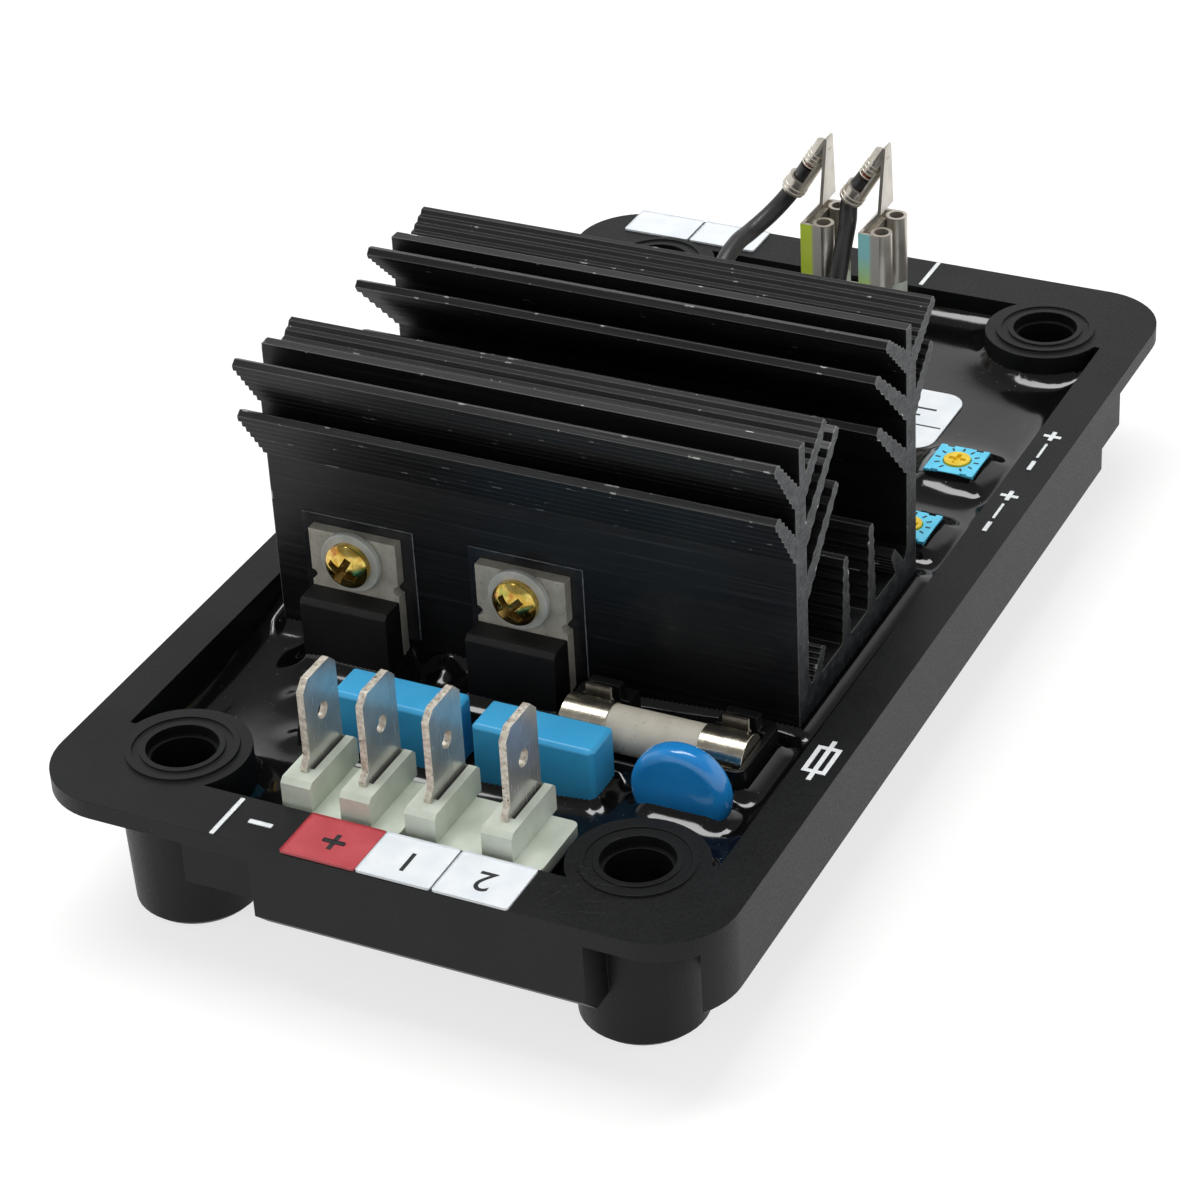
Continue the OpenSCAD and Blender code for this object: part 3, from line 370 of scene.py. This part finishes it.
PARTS = {"VERT": "vertices", "FACE": "polygons"}


def edit_some(piece, kind, choose, *steps):
    """Runs edit-mode operators on the vertices or faces that choose picks."""
    work_on(piece)
    bpy.ops.object.mode_set(mode="EDIT")
    bpy.ops.mesh.select_mode(type=kind)
    bpy.ops.mesh.select_all(action="DESELECT")
    bpy.ops.object.mode_set(mode="OBJECT")
    for part in getattr(piece.data, PARTS[kind]):
        part.select = choose(part)
    bpy.ops.object.mode_set(mode="EDIT")
    for operator, settings in steps:
        operator(**settings)
    bpy.ops.mesh.select_mode(type="VERT")
    bpy.ops.object.mode_set(mode="OBJECT")


def added(operator, **settings):
    """Deselects everything, adds an object by an operator and returns it."""
    bpy.ops.object.select_all(action="DESELECT")
    operator(**settings)
    return bpy.context.object


def modify(piece, kind, **settings):
    """Adds a modifier with its settings and applies it."""
    work_on(piece)
    step = piece.modifiers.new(kind.lower(), kind)
    for name, value in settings.items():
        setattr(step, name, value)
    bpy.ops.object.modifier_apply(modifier=step.name)


def soften(piece, width, steps=2, edge=-1, limit=35, smooth=40):
    """Rounds the edges sharper than a limit in degrees by a width in mm, and shades smooth across those under
    another; edge is the rounding's material."""
    modify(piece, "BEVEL", width=width * MM, segments=steps, limit_method="ANGLE",
           angle_limit=math.radians(limit), material=edge)
    work_on(piece)
    bpy.ops.object.shade_smooth_by_angle(angle=math.radians(smooth))
    modify(piece, "WEIGHTED_NORMAL", keep_sharp=True)


def settle(piece, name, body=REGULATOR, replaced=()):
    """Names a finished piece, makes it ride on its body and hides the CAD nodes it stands for."""
    work_on(piece)
    bpy.ops.object.transform_apply(location=True, rotation=True, scale=True)
    piece.name = name
    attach(piece, body)
    if replaced:
        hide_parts(*replaced)
    return piece


def cad_copy(node):
    """A copy of a CAD node's mesh as a new piece, its triangles merged and its flat faces made whole."""
    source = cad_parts[node]
    piece = bpy.data.objects.new(node + "_copy", source.data.copy())
    piece.data.transform(source.matrix_world)
    piece.data.materials.clear()
    bpy.context.collection.objects.link(piece)
    work_on(piece)
    bpy.ops.mesh.customdata_custom_splitnormals_clear()
    edit(piece, (bpy.ops.mesh.remove_doubles, {"threshold": MERGE * MM}),
         (bpy.ops.mesh.dissolve_limited, {"angle_limit": FLAT_ANGLE}))
    return piece


def paint(piece, material, choose):
    """Gives another material to the faces that choose picks by their centre and normal."""
    piece.data.materials.append(material)
    for face in piece.data.polygons:
        if choose(face.center, face.normal):
            face.material_index = len(piece.data.materials) - 1


def dress(node, slot, material, width, steps=2, edge_material=None, body=REGULATOR, extra=(), **angles):
    """A CAD node with its edges rounded by a width in mm, in steps, and its finish on; extra is pairs of a
    material and a choose function for some of its faces."""
    piece = cad_copy(node)
    piece.data.materials.append(material)
    for other, choose in extra:
        paint(piece, other, choose)
    edge = -1
    if edge_material:
        piece.data.materials.append(edge_material)
        edge = len(piece.data.materials) - 1
    soften(piece, width, steps, edge, **angles)
    return settle(piece, node + "_finished", body, [node])


def plate(x, y, bottom, thick, corner, material):
    """A thin plate between two x and two y values, with all its edges rounded; all in mm. Where the rounding
    is wider than the plate is thick, its faces cross at the rim, which then stands a little proud."""
    piece = added(bpy.ops.mesh.primitive_cube_add, size=1,
                  location=((x[0] + x[1]) / 2 * MM, (y[0] + y[1]) / 2 * MM, (bottom + thick / 2) * MM),
                  scale=((x[1] - x[0]) * MM, (y[1] - y[0]) * MM, thick * MM))
    bpy.ops.object.transform_apply(location=True, rotation=True, scale=True)
    piece.data.materials.append(material)
    edit(piece, (bpy.ops.mesh.bevel, {"offset": corner * MM, "segments": 3, "affect": "EDGES"}))
    return piece


def prints(marks, bottom, material):
    """Flat printed marks: each is its x and y range and the rounding of its edges, in mm."""
    return [plate(x, y, bottom, INK, corner, material) for x, y, corner in marks]


def turn(piece, degrees, centre):
    """Turns a piece about the upright line through a centre in mm."""
    middle = Vector((centre[0] * MM, centre[1] * MM, 0))
    spin = Matrix.Translation(middle) @ Matrix.Rotation(math.radians(degrees), 4, "Z")
    piece.data.transform(spin @ Matrix.Translation(-middle))
    return piece


def join(pieces):
    """Joins pieces into the first of them."""
    bpy.ops.object.select_all(action="DESELECT")
    for piece in pieces:
        piece.select_set(True)
    bpy.context.view_layer.objects.active = pieces[0]
    bpy.ops.object.join()
    return pieces[0]


# Blender's text size for a numeral 1 high
TEXT_SIZE = 1.4


def numeral(sign, centre, height, bottom, degrees, material):
    """A printed number, made a mesh and laid flat at a centre in mm."""
    piece = added(bpy.ops.object.text_add)
    piece.data.body = sign
    piece.data.align_x = "CENTER"
    piece.data.align_y = "CENTER"
    piece.data.size = height * MM * TEXT_SIZE
    piece.data.extrude = INK / 2 * MM
    bpy.ops.object.convert(target="MESH")
    piece = bpy.context.object
    piece.data.materials.clear()
    piece.data.materials.append(material)
    piece.data.transform(Matrix.Translation(Vector((centre[0], centre[1], bottom + INK / 2)) * MM)
                         @ Matrix.Rotation(math.radians(degrees), 4, "Z"))
    return piece


# Camera

def place_camera():
    """The camera at the place and angles of the photograph."""
    around, lift, roll = (math.radians(v) for v in (CAMERA_AZIMUTH, CAMERA_ELEVATION, CAMERA_ROLL))
    back = Vector((math.sin(around) * math.cos(lift), -math.cos(around) * math.cos(lift), math.sin(lift)))
    right = Vector((math.cos(around), math.sin(around), 0))
    up = back.cross(right)
    rolled_right = math.cos(roll) * right + math.sin(roll) * up
    rolled_up = math.cos(roll) * up - math.sin(roll) * right
    camera = added(bpy.ops.object.camera_add)
    axes = Matrix((rolled_right, rolled_up, back)).transposed()
    camera.matrix_world = Matrix.Translation(Vector(CAMERA_PLACE) * MM) @ axes.to_4x4()
    camera.data.lens = CAMERA_LENS
    camera.data.sensor_width = SENSOR_WIDTH
    camera.data.clip_start = CAMERA_NEAR
    bpy.context.scene.camera = camera


place_camera()

# Leads: the route points of the CAD leads in mm, as smooth round jackets

LEAD_RADIUS = 1.05
LEAD_ROUTES = {
    "lead_left": [(-3.91, 54.275, 34.56), (-6, 54.275, 31.2), (-8, 52.8, 28.6), (-9.5, 50, 27.2),
                  (-10, 46.5, 27), (-10.1, 42.5, 25.8), (-10.2, 39, 22.4), (-10.3, 37.2, 18),
                  (-10.3, 37, 13.9)],
    "lead_right": [(3.26, 54.275, 34.35), (1.3, 54.275, 31.2), (1.3, 53.4, 28.6), (1.3, 51.8, 25.8),
                   (1.3, 50.2, 22.8), (1.3, 48.9, 19), (1.3, 48.5, 13.9)],
}
# One strand in the middle and six round it
STRANDS = 7
STRAND_TURN = 60
STRAND_RADIUS = 0.2
STRAND_RING = 0.44
STRAND_LENGTH = 2.2


def lead(node):
    """A lead as a curve through its route, given its thickness and made a mesh."""
    line = bpy.data.curves.new(node, "CURVE")
    line.dimensions = "3D"
    line.bevel_depth = LEAD_RADIUS * MM
    line.bevel_resolution = 6
    line.resolution_u = 10
    line.use_fill_caps = True
    spline = line.splines.new("BEZIER")
    spline.bezier_points.add(len(LEAD_ROUTES[node]) - 1)
    for point, place in zip(spline.bezier_points, LEAD_ROUTES[node]):
        point.co = Vector(place) * MM
        point.handle_left_type = point.handle_right_type = "AUTO"
    piece = bpy.data.objects.new(node, line)
    bpy.context.collection.objects.link(piece)
    work_on(piece)
    bpy.ops.object.convert(target="MESH")
    piece = bpy.context.object
    piece.data.materials.append(lead_jacket)
    bpy.ops.object.shade_smooth()
    return settle(piece, node + "_jacket", replaced=[node])


def crimp_line(node):
    """The upper and lower ends of a lead's crimps in mm, and the direction from the lower to the upper."""
    upper, lower = (Vector(place) for place in LEAD_ROUTES[node][:2])
    return upper, lower, (upper - lower).normalized()


def standing(place, way):
    """The matrix that puts a thing at a place in mm with its Z axis along a direction."""
    return Matrix.Translation(place * MM) @ way.to_track_quat("Z", "Y").to_matrix().to_4x4()


def strands(node):
    """Bare copper strands from the crimp into the lead's jacket."""
    upper, _, way = crimp_line(node)
    wires = []
    for i in range(STRANDS):
        angle = math.radians(STRAND_TURN * i)
        offset = Vector((math.cos(angle), math.sin(angle), 0)) * (STRAND_RING if i else 0)
        wire = added(bpy.ops.mesh.primitive_cylinder_add, vertices=10, radius=STRAND_RADIUS * MM,
                     depth=STRAND_LENGTH * MM)
        wire.data.transform(standing(upper, way) @ Matrix.Translation(offset * MM))
        wire.data.materials.append(copper_strand)
        wires.append(wire)
    bundle = join(wires)
    soften(bundle, 0.05, 1)
    settle(bundle, node + "_strands")


# Wrinkles pressed into the crimps, in mm: how far each lies from the lower end of the wire crimp or of the
# grip, and its radius
WIRE_WRINKLES = [(0.45, 0.99), (1.05, 0.99), (1.65, 0.99), (2.25, 0.99)]
GRIP_WRINKLES = [(0.35, 1.44), (0.95, 1.44)]
WRINKLE_RADIUS = 0.11


def wrinkles(node):
    """Raised rings round both crimps of a lead."""
    upper, lower, way = crimp_line(node)
    rings = []
    for crimp, spots in ((upper, WIRE_WRINKLES), (lower, GRIP_WRINKLES)):
        for along, radius in spots:
            ring = added(bpy.ops.mesh.primitive_torus_add, major_radius=radius * MM,
                         minor_radius=WRINKLE_RADIUS * MM, major_segments=40, minor_segments=8)
            ring.data.transform(standing(crimp + way * along, way))
            ring.data.materials.append(sheared_edge)
            rings.append(ring)
    bundle = join(rings)
    work_on(bundle)
    bpy.ops.object.shade_smooth()
    settle(bundle, node + "_crimp_wrinkles")


for lead_node in LEAD_ROUTES:
    lead(lead_node)
    strands(lead_node)
    wrinkles(lead_node)

# Tray and board

dress("potting_tray", "tray_plastic", tray_plastic, 0.45, 3)
dress("circuit_board", "board_laminate", board_laminate, 0.05)


# Resin: a fine grid cut to the CAD resin's outline, drawn up where it wets the walls and the parts

def resin_dip(point):
    """How far the resin has sunk at a point in metres: most in the front left of the tray."""
    sideways = min(max((DIP_START[0] - point.x / MM) / DIP_LENGTH[0], 0), 1)
    forward = min(max((DIP_START[1] - point.y / MM) / DIP_LENGTH[1], 0), 1)
    return RESIN_DIP * sideways * (2 - sideways) * forward * (2 - forward)


def middle_of(node):
    """The x and y in mm of the middle of a CAD node."""
    low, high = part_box(node)
    return (low[0] + high[0]) / 2 / MM, (low[1] + high[1]) / 2 / MM


mounds = [middle_of("trimmer_" + place) + TRIMMER_MOUND for place in ("front", "rear")]


def resin_relief(point):
    """How far lumps, mounds and bubble rings raise the resin at a point in metres."""
    raised = 0
    for x, y, radius, height in RESIN_LUMPS + mounds:
        away = math.hypot(point.x / MM - x, point.y / MM - y)
        raised += height * math.exp(-(away / radius) ** 2 * 2)
    for x, y, radius, height in RESIN_RINGS:
        away = math.hypot(point.x / MM - x, point.y / MM - y) - radius
        raised += height * math.exp(-(away / RING_WIDTH) ** 2)
    return raised


def resin():
    """The resin, with its raised rim along every wall and part that it meets."""
    low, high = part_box("resin_fill")
    wide, long = (high[0] - low[0]) + GRID_MARGIN * MM, (high[1] - low[1]) + GRID_MARGIN * MM
    piece = added(bpy.ops.mesh.primitive_grid_add, size=1,
                  x_subdivisions=round(wide / MM / RESIN_PITCH),
                  y_subdivisions=round(long / MM / RESIN_PITCH),
                  location=((low[0] + high[0]) / 2, (low[1] + high[1]) / 2, high[2] - RESIN_SKIN * MM))
    piece.scale = (wide, long, 1)
    bpy.ops.object.transform_apply(location=True, rotation=True, scale=True)
    down = (0, 0, low[2] - high[2] - GRID_BELOW * MM)
    edit(piece, (bpy.ops.mesh.extrude_region_move, {"TRANSFORM_OT_translate": {"value": down}}))
    edit(piece, (bpy.ops.mesh.normals_make_consistent, {"inside": False}))
    cutter = cad_copy("resin_fill")
    modify(piece, "BOOLEAN", object=cutter, operation="INTERSECT", solver="EXACT")
    bpy.data.objects.remove(cutter)
    piece.data.materials.clear()
    piece.data.materials.append(potting_resin)

    # Finer triangles near the shores, evened out
    level = high[2] - (RESIN_SKIN + LEVEL_SLACK) * MM
    shore = shore_points(piece, level)

    def is_near_shore(face):
        near = shore.find(face.center)[2] < MENISCUS_ZONE * MM
        return face.center.z > level and face.normal.z > LOOKS_ALONG and near

    edit_some(piece, "FACE", is_near_shore,
              (bpy.ops.mesh.quads_convert_to_tris, {"quad_method": "BEAUTY", "ngon_method": "BEAUTY"}),
              (bpy.ops.mesh.subdivide, {"number_cuts": 1}))
    shore = shore_points(piece, level)
    inner = {point.index for point in piece.data.vertices
             if point.co.z > level and shore.find(point.co)[2] > SHORE_KEEP * MM}

    def is_inner(point):
        return point.index in inner

    edit_some(piece, "VERT", is_inner,
              (bpy.ops.mesh.vertices_smooth, {"factor": 0.5, "repeat": 4, "zaxis": False}))

    # The drawn-up edge, the dip and the lumps, then smoothed upright
    for point in piece.data.vertices:
        if point.co.z > level:
            reach = shore.find(point.co)[2] / MM
            rise = MENISCUS_RISE * math.exp(-reach / MENISCUS_REACH)
            point.co.z += (rise - resin_dip(point.co) + resin_relief(point.co)) * MM
    edit_some(piece, "VERT", is_inner,
              (bpy.ops.mesh.vertices_smooth, {"factor": 0.5, "repeat": 6, "xaxis": False, "yaxis": False}))
    bpy.ops.object.shade_smooth_by_angle(angle=SMOOTH_UNDER)
    settle(piece, "resin_surface", replaced=["resin_fill"])


def shore_points(piece, level):
    """A search tree of points along the edge of the resin's top, four to each short edge."""
    mesh = piece.data
    uses = {}
    for face in mesh.polygons:
        if face.normal.z > LOOKS_ALONG and face.center.z > level:
            for key in face.edge_keys:
                uses[key] = uses.get(key, 0) + 1
    lines = [key for key, count in uses.items() if count == 1]
    points = []
    for a, b in lines:
        start, end = mesh.vertices[a].co, mesh.vertices[b].co
        count = max(4, int((end - start).length / (SHORE_STEP * MM)))
        points += [start.lerp(end, i / count) for i in range(count)]
    tree = kdtree.KDTree(len(points))
    for i, point in enumerate(points):
        tree.insert(point, i)
    tree.balance()
    return tree


resin()

# Heat sink: sawn ends, die lines and nicked edges

def is_end(centre, normal):
    """A face that looks along the extrusion."""
    return abs(normal.x) > LOOKS_ALONG


dress("heat_sink", "anodised_aluminium", anodised, 0.09, 2, extra=[(sawn_end, is_end)], limit=30, smooth=18)

# Transistors and what holds them


def is_rim(centre, normal):
    """A face on the thin outline of a sheet that stands across Y."""
    return abs(normal.y) < LOOKS_ACROSS


CROSS_DEPTH = 1.5
CROSS_LENGTH = 5.2
CROSS_WIDTH = 1.0
# The share of its length and width that a recess keeps at its floor
CROSS_NARROW = (0.45, 0.7)
CROSS_TURNS = {"screw_left": 28, "screw_right": 48}


def screw(node):
    """A pan-head screw with a cross recess that narrows inwards."""
    piece = cad_copy(node)
    piece.data.materials.append(yellow_zinc)
    low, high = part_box(node)
    centre = Vector(((low[0] + high[0]) / 2, low[1], (low[2] + high[2]) / 2))
    arms = []
    for quarter in (0, 90):
        arm = added(bpy.ops.mesh.primitive_cube_add, size=1)
        arm.scale = (CROSS_LENGTH * MM, 2 * CROSS_DEPTH * MM, CROSS_WIDTH * MM)
        bpy.ops.object.transform_apply(scale=True)
        for point in arm.data.vertices:
            if point.co.y > 0:
                point.co.x *= CROSS_NARROW[0]
                point.co.z *= CROSS_NARROW[1]
        # The recess faces get the darker bronze of the painted shade
        arm.data.materials.append(dark_recess)
        tilt = Matrix.Rotation(math.radians(quarter + CROSS_TURNS[node]), 4, "Y")
        arm.data.transform(Matrix.Translation(centre) @ tilt)
        arms.append(arm)
    for arm in arms:
        modify(piece, "BOOLEAN", object=arm, operation="DIFFERENCE", solver="EXACT", material_mode="TRANSFER")
        bpy.data.objects.remove(arm)
    soften(piece, 0.08, 2)
    return settle(piece, node + "_cross_head", replaced=[node])


for side in ("left", "right"):
    dress("transistor_body_" + side, "case_epoxy", case_epoxy, 0.15)
    dress("transistor_plate_" + side, "nickel_plate", nickel_plate, 0.08)
    dress("insulator_" + side, "mica_sheet", mica_sheet, 0.02, 1, extra=[(mica_edge, is_rim)])
    dress("bushing_" + side, "bushing_nylon", bushing_nylon, 0.2, 3)
    screw("screw_" + side)

# Terminal blocks and tabs


def is_stamped(centre, normal):
    """A face on a tab's stamped outline, which stands across X."""
    return abs(normal.x) < LOOKS_ACROSS


# The slot beside each front blade: its depth and width in mm, and how near a face's centre counts
SLOT_DEPTH = 1.0
SLOT_WIDTH = 0.35
SLOT_NEAR = 0.05
HOUSE_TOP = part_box("terminal_block_left")[1][2] / MM
FRONT_BLADES = [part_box("tab_%d" % number) for number in range(1, 5)]


def is_slot(centre, normal):
    """A face inside the slot that a housing leaves beside a front blade."""
    x, y, z = (value / MM for value in centre)
    if not HOUSE_TOP - SLOT_DEPTH - SLOT_NEAR < z < HOUSE_TOP - SLOT_NEAR:
        return False
    return any(-SLOT_NEAR < x - high[0] / MM < SLOT_WIDTH + SLOT_NEAR and low[1] / MM < y < high[1] / MM
               for low, high in FRONT_BLADES)


for place in ("left", "right", "rear"):
    # The slot faces beside the front blades get the near-black painted shade
    dress("terminal_block_" + place, "block_nylon", block_nylon, 0.35, 3, extra=[(slot_shade_and_dirt_nylon, is_slot)])
for number in range(1, 7):
    dress("tab_%d" % number, "tinned_brass", tinned_brass, 0.06, 2, extra=[(stamped_edge, is_stamped)],
          smooth=20)

# Capacitors, varistor and fuse

LIP_HEIGHT = 1.3
LIP_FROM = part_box("fuse_clip_left")[1][2] - LIP_HEIGHT * MM


def is_lip(centre, normal):
    """A face on the front or top of a clip's upright lip."""
    return centre.z > LIP_FROM and abs(normal.x) < LOOKS_ACROSS


def is_clip_side(centre, normal):
    """A face on a clip's sheared side."""
    return abs(normal.x) > LOOKS_ALONG


for side in ("left", "right"):
    dress("capacitor_" + side, "capacitor_case", capacitor_case, 0.16, 3)
    # The clips' lips get the painted dark reflection of the heat sink
    dress("fuse_clip_" + side, "spring_strip", spring_strip, 0.06, 2,
          extra=[(lip_painted_dark_reflection, is_lip), (sheared_edge, is_clip_side)], limit=60)
    dress("fuse_cap_" + side, "nickel_cap", nickel_cap, 0.15, 3)
dress("varistor", "varistor_coat", varistor_coat, 0.6, 4)
dress("fuse_holder", "holder_plastic", holder_plastic, 0.2)
dress("fuse_tube", "fuse_ceramic", fuse_ceramic, 0.1)

# Trimmers: case, scale of ticks and slotted rotor

TICKS = 11
TICK_FROM, TICK_STEP = -60, 30
TICK_RING = 2.25
TICK_HALF = (0.3, 0.11)
TICK_ROUNDING = 0.03


def tick_scale(place):
    """The ring of printed ticks round a trimmer's rotor."""
    x, y = middle_of("trimmer_" + place)
    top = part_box("trimmer_" + place)[1][2] / MM
    ticks = []
    for i in range(TICKS):
        tick = plate((x + TICK_RING - TICK_HALF[0], x + TICK_RING + TICK_HALF[0]),
                     (y - TICK_HALF[1], y + TICK_HALF[1]), top - INK_SINK, INK, TICK_ROUNDING, black_ink)
        ticks.append(turn(tick, TICK_FROM + TICK_STEP * i, (x, y)))
    settle(join(ticks), "tick_scale_" + place)


for place in ("front", "rear"):
    dress("trimmer_" + place, "trimmer_case", trimmer_case, 0.12)
    dress("rotor_" + place, "rotor_plastic", rotor_plastic, 0.08, body=place + "_trimmer_rotor")
    tick_scale(place)

# Receptacles

# The coloured front of a socket in mm, its heights and how far back it may lie, and its normal's limit
SOCKET_SPAN = (20.5, 28.7)
SOCKET_FRONT = 50.8
FLAT_FRONT = -0.995


def is_coloured_front(centre, normal):
    """The flat front side of a receptacle's socket."""
    front = normal.y < FLAT_FRONT and centre.y < SOCKET_FRONT * MM
    return front and SOCKET_SPAN[0] * MM < centre.z < SOCKET_SPAN[1] * MM


for side, side_colour in (("left", lime_front_colour), ("right", lime_to_teal_front_colour)):
    dress("receptacle_" + side, "tinned_brass", receptacle_strip, 0.06, 2, sheared_edge,
          extra=[(side_colour, is_coloured_front)], limit=60)

# Films, lines and signs on the rim

FRONT_Y = (-67.5, -60.9)
REAR_Y = (62.0, 67.4)
FILM_ROUNDING = 0.25
RIM_FILMS = {
    "red_field": ((-7.4, 0.8), FRONT_Y, red_film),
    "white_field_first": ((0.85, 8.8), FRONT_Y, label_film),
    "white_field_second": ((9.0, 17.0), FRONT_Y, label_film),
    "rear_field_first": ((-32.3, -23.8), REAR_Y, label_film),
    "rear_field_second": ((-23.5, -14.9), REAR_Y, label_film),
}
for film_name, (film_x, film_y, film_material) in RIM_FILMS.items():
    film = plate(film_x, film_y, RIM_TOP - FILM_SINK, FILM + FILM_SINK, FILM_ROUNDING, film_material)
    settle(film, film_name)

FILM_TOP = RIM_TOP + FILM - INK_SINK
SIGN_Y = -64.2
# Rounding of printed strokes: most at a free end, less on an outline, hardly any where two strokes meet
FREE_END = 0.1
OUTLINE_END = 0.02
BUTT_END = 0.005
white_marks = [
    # Lines across the rim and a minus
    ((-15.2, -14.7), (-67.4, -61.2), FREE_END),
    ((-12.6, -10.0), (SIGN_Y - 0.3, SIGN_Y + 0.3), FREE_END),
    ((7.1, 7.6), (61.2, 67.4), FREE_END),
    # The fuse symbol: a box and the wire through it
    ((33.35, 33.85), (-36.65, -32.1), OUTLINE_END),
    ((35.4, 35.9), (-36.65, -32.1), OUTLINE_END),
    ((33.84, 35.41), (-36.65, -36.15), BUTT_END),
    ((33.84, 35.41), (-32.6, -32.1), BUTT_END),
    ((34.4, 34.9), (-37.9, -36.64), BUTT_END),
    ((34.4, 34.9), (-36.16, -32.59), BUTT_END),
    ((34.4, 34.9), (-32.11, -31.0), BUTT_END),
]
# A minus, a line and a plus beside each trimmer say which way to turn it
for middle in (15.6, 29.3):
    white_marks += [
        ((34.0, 34.5), (middle - 4.4, middle - 2.4), FREE_END),
        ((34.1, 34.4), (middle - 1.6, middle + 1.6), FREE_END),
        ((34.0, 34.5), (middle + 2.4, middle + 4.4), FREE_END),
        ((33.25, 34.01), (middle + 3.15, middle + 3.65), BUTT_END),
        ((34.49, 35.25), (middle + 3.15, middle + 3.65), BUTT_END),
    ]
settle(join(prints(white_marks, RIM_TOP - INK_SINK, white_ink)), "rim_print_white")

black_marks = [
    ((-4.4, -2.0), (SIGN_Y - 0.25, SIGN_Y + 0.25), FREE_END),
    ((-3.45, -2.95), (SIGN_Y - 1.2, SIGN_Y - 0.24), BUTT_END),
    ((-3.45, -2.95), (SIGN_Y + 0.24, SIGN_Y + 1.2), BUTT_END),
]
dark_signs = prints(black_marks, FILM_TOP, black_ink)
# Height in mm, and the turn in degrees that makes them read from the heat sink
NUMERAL_HEIGHT = 3.0
NUMERAL_TURN = 180
for sign, sign_x in (("1", 4.9), ("2", 13.0)):
    dark_signs.append(numeral(sign, (sign_x, SIGN_Y), NUMERAL_HEIGHT, FILM_TOP, NUMERAL_TURN, black_ink))
settle(join(dark_signs), "rim_print_black")

# Label on the resin

dress("rating_label", "label_film", label_film, 0.02, 1)
LABEL_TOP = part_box("rating_label")[1][2] / MM - INK_SINK
LINE_END = 0.05
LABEL_LINES = [((7.0, 19.9), (35.3, 35.5), LINE_END), ((7.6, 16.6), (37.4, 37.7), LINE_END),
               ((7.6, 18.0), (39.0, 39.3), LINE_END)]
settle(join(prints(LABEL_LINES, LABEL_TOP, black_ink)), "label_lines")

# Stage


def stage_floor():
    """A pale floor that shows white to the camera and in reflections, and keeps the shadow."""
    floor = added(bpy.ops.mesh.primitive_plane_add, size=FLOOR_SIZE)
    floor.name = "floor"
    material = bpy.data.materials.new("pale_studio_paper")
    material.use_nodes = True
    tree = material.node_tree
    shader = tree.nodes["Principled BSDF"]
    shader.inputs["Base Color"].default_value = linear("#a2a2a1")
    shader.inputs["Roughness"].default_value = 0.9
    shader.inputs["Specular IOR Level"].default_value = 0.1
    rays = add(tree, "LightPath").outputs
    seen = rays["Is Camera Ray"]
    for other in ("Is Glossy Ray", "Is Transmission Ray"):
        seen = add(tree, "Math", {0: seen, 1: rays[other]}, operation="MAXIMUM").outputs[0]
    glow = add(tree, "Math", {0: seen, 1: FLOOR_GLOW}, operation="MULTIPLY")
    emission = add(tree, "Emission", {"Color": WHITE, "Strength": glow.outputs[0]})
    both = add(tree, "AddShader", {0: shader.outputs[0], 1: emission.outputs[0]})
    tree.links.new(both.outputs[0], tree.nodes["Material Output"].inputs["Surface"])
    floor.data.materials.append(material)


def sky():
    """White studio walls that fade into a dim ceiling."""
    world = bpy.data.worlds.new("studio")
    bpy.context.scene.world = world
    world.use_nodes = True
    tree = world.node_tree
    back = tree.nodes["Background"]
    back.inputs["Color"].default_value = WHITE
    up = add(tree, "SeparateXYZ", {0: add(tree, "TexCoord").outputs["Generated"]}).outputs["Z"]
    fade_from, fade_to = (math.sin(math.radians(v)) for v in WALL_FADE)
    level = add(tree, "MapRange", {"Value": up, "From Min": fade_from, "From Max": fade_to,
                                   "To Min": WALL_LIGHT, "To Max": CEILING_LIGHT},
                interpolation_type="SMOOTHSTEP")
    tree.links.new(level.outputs["Result"], back.inputs["Strength"])


def softbox():
    """One long soft lamp above the object."""
    lamp = added(bpy.ops.object.light_add, type="AREA", location=SOFTBOX_PLACE)
    lamp.data.shape = "RECTANGLE"
    lamp.data.size, lamp.data.size_y = SOFTBOX_SIZE
    lamp.data.energy = SOFTBOX_POWER
    lamp.rotation_euler = (-Vector(SOFTBOX_PLACE)).to_track_quat("-Z", "Y").to_euler()


stage_floor()
sky()
softbox()
bpy.context.scene.view_settings.view_transform = "Standard"
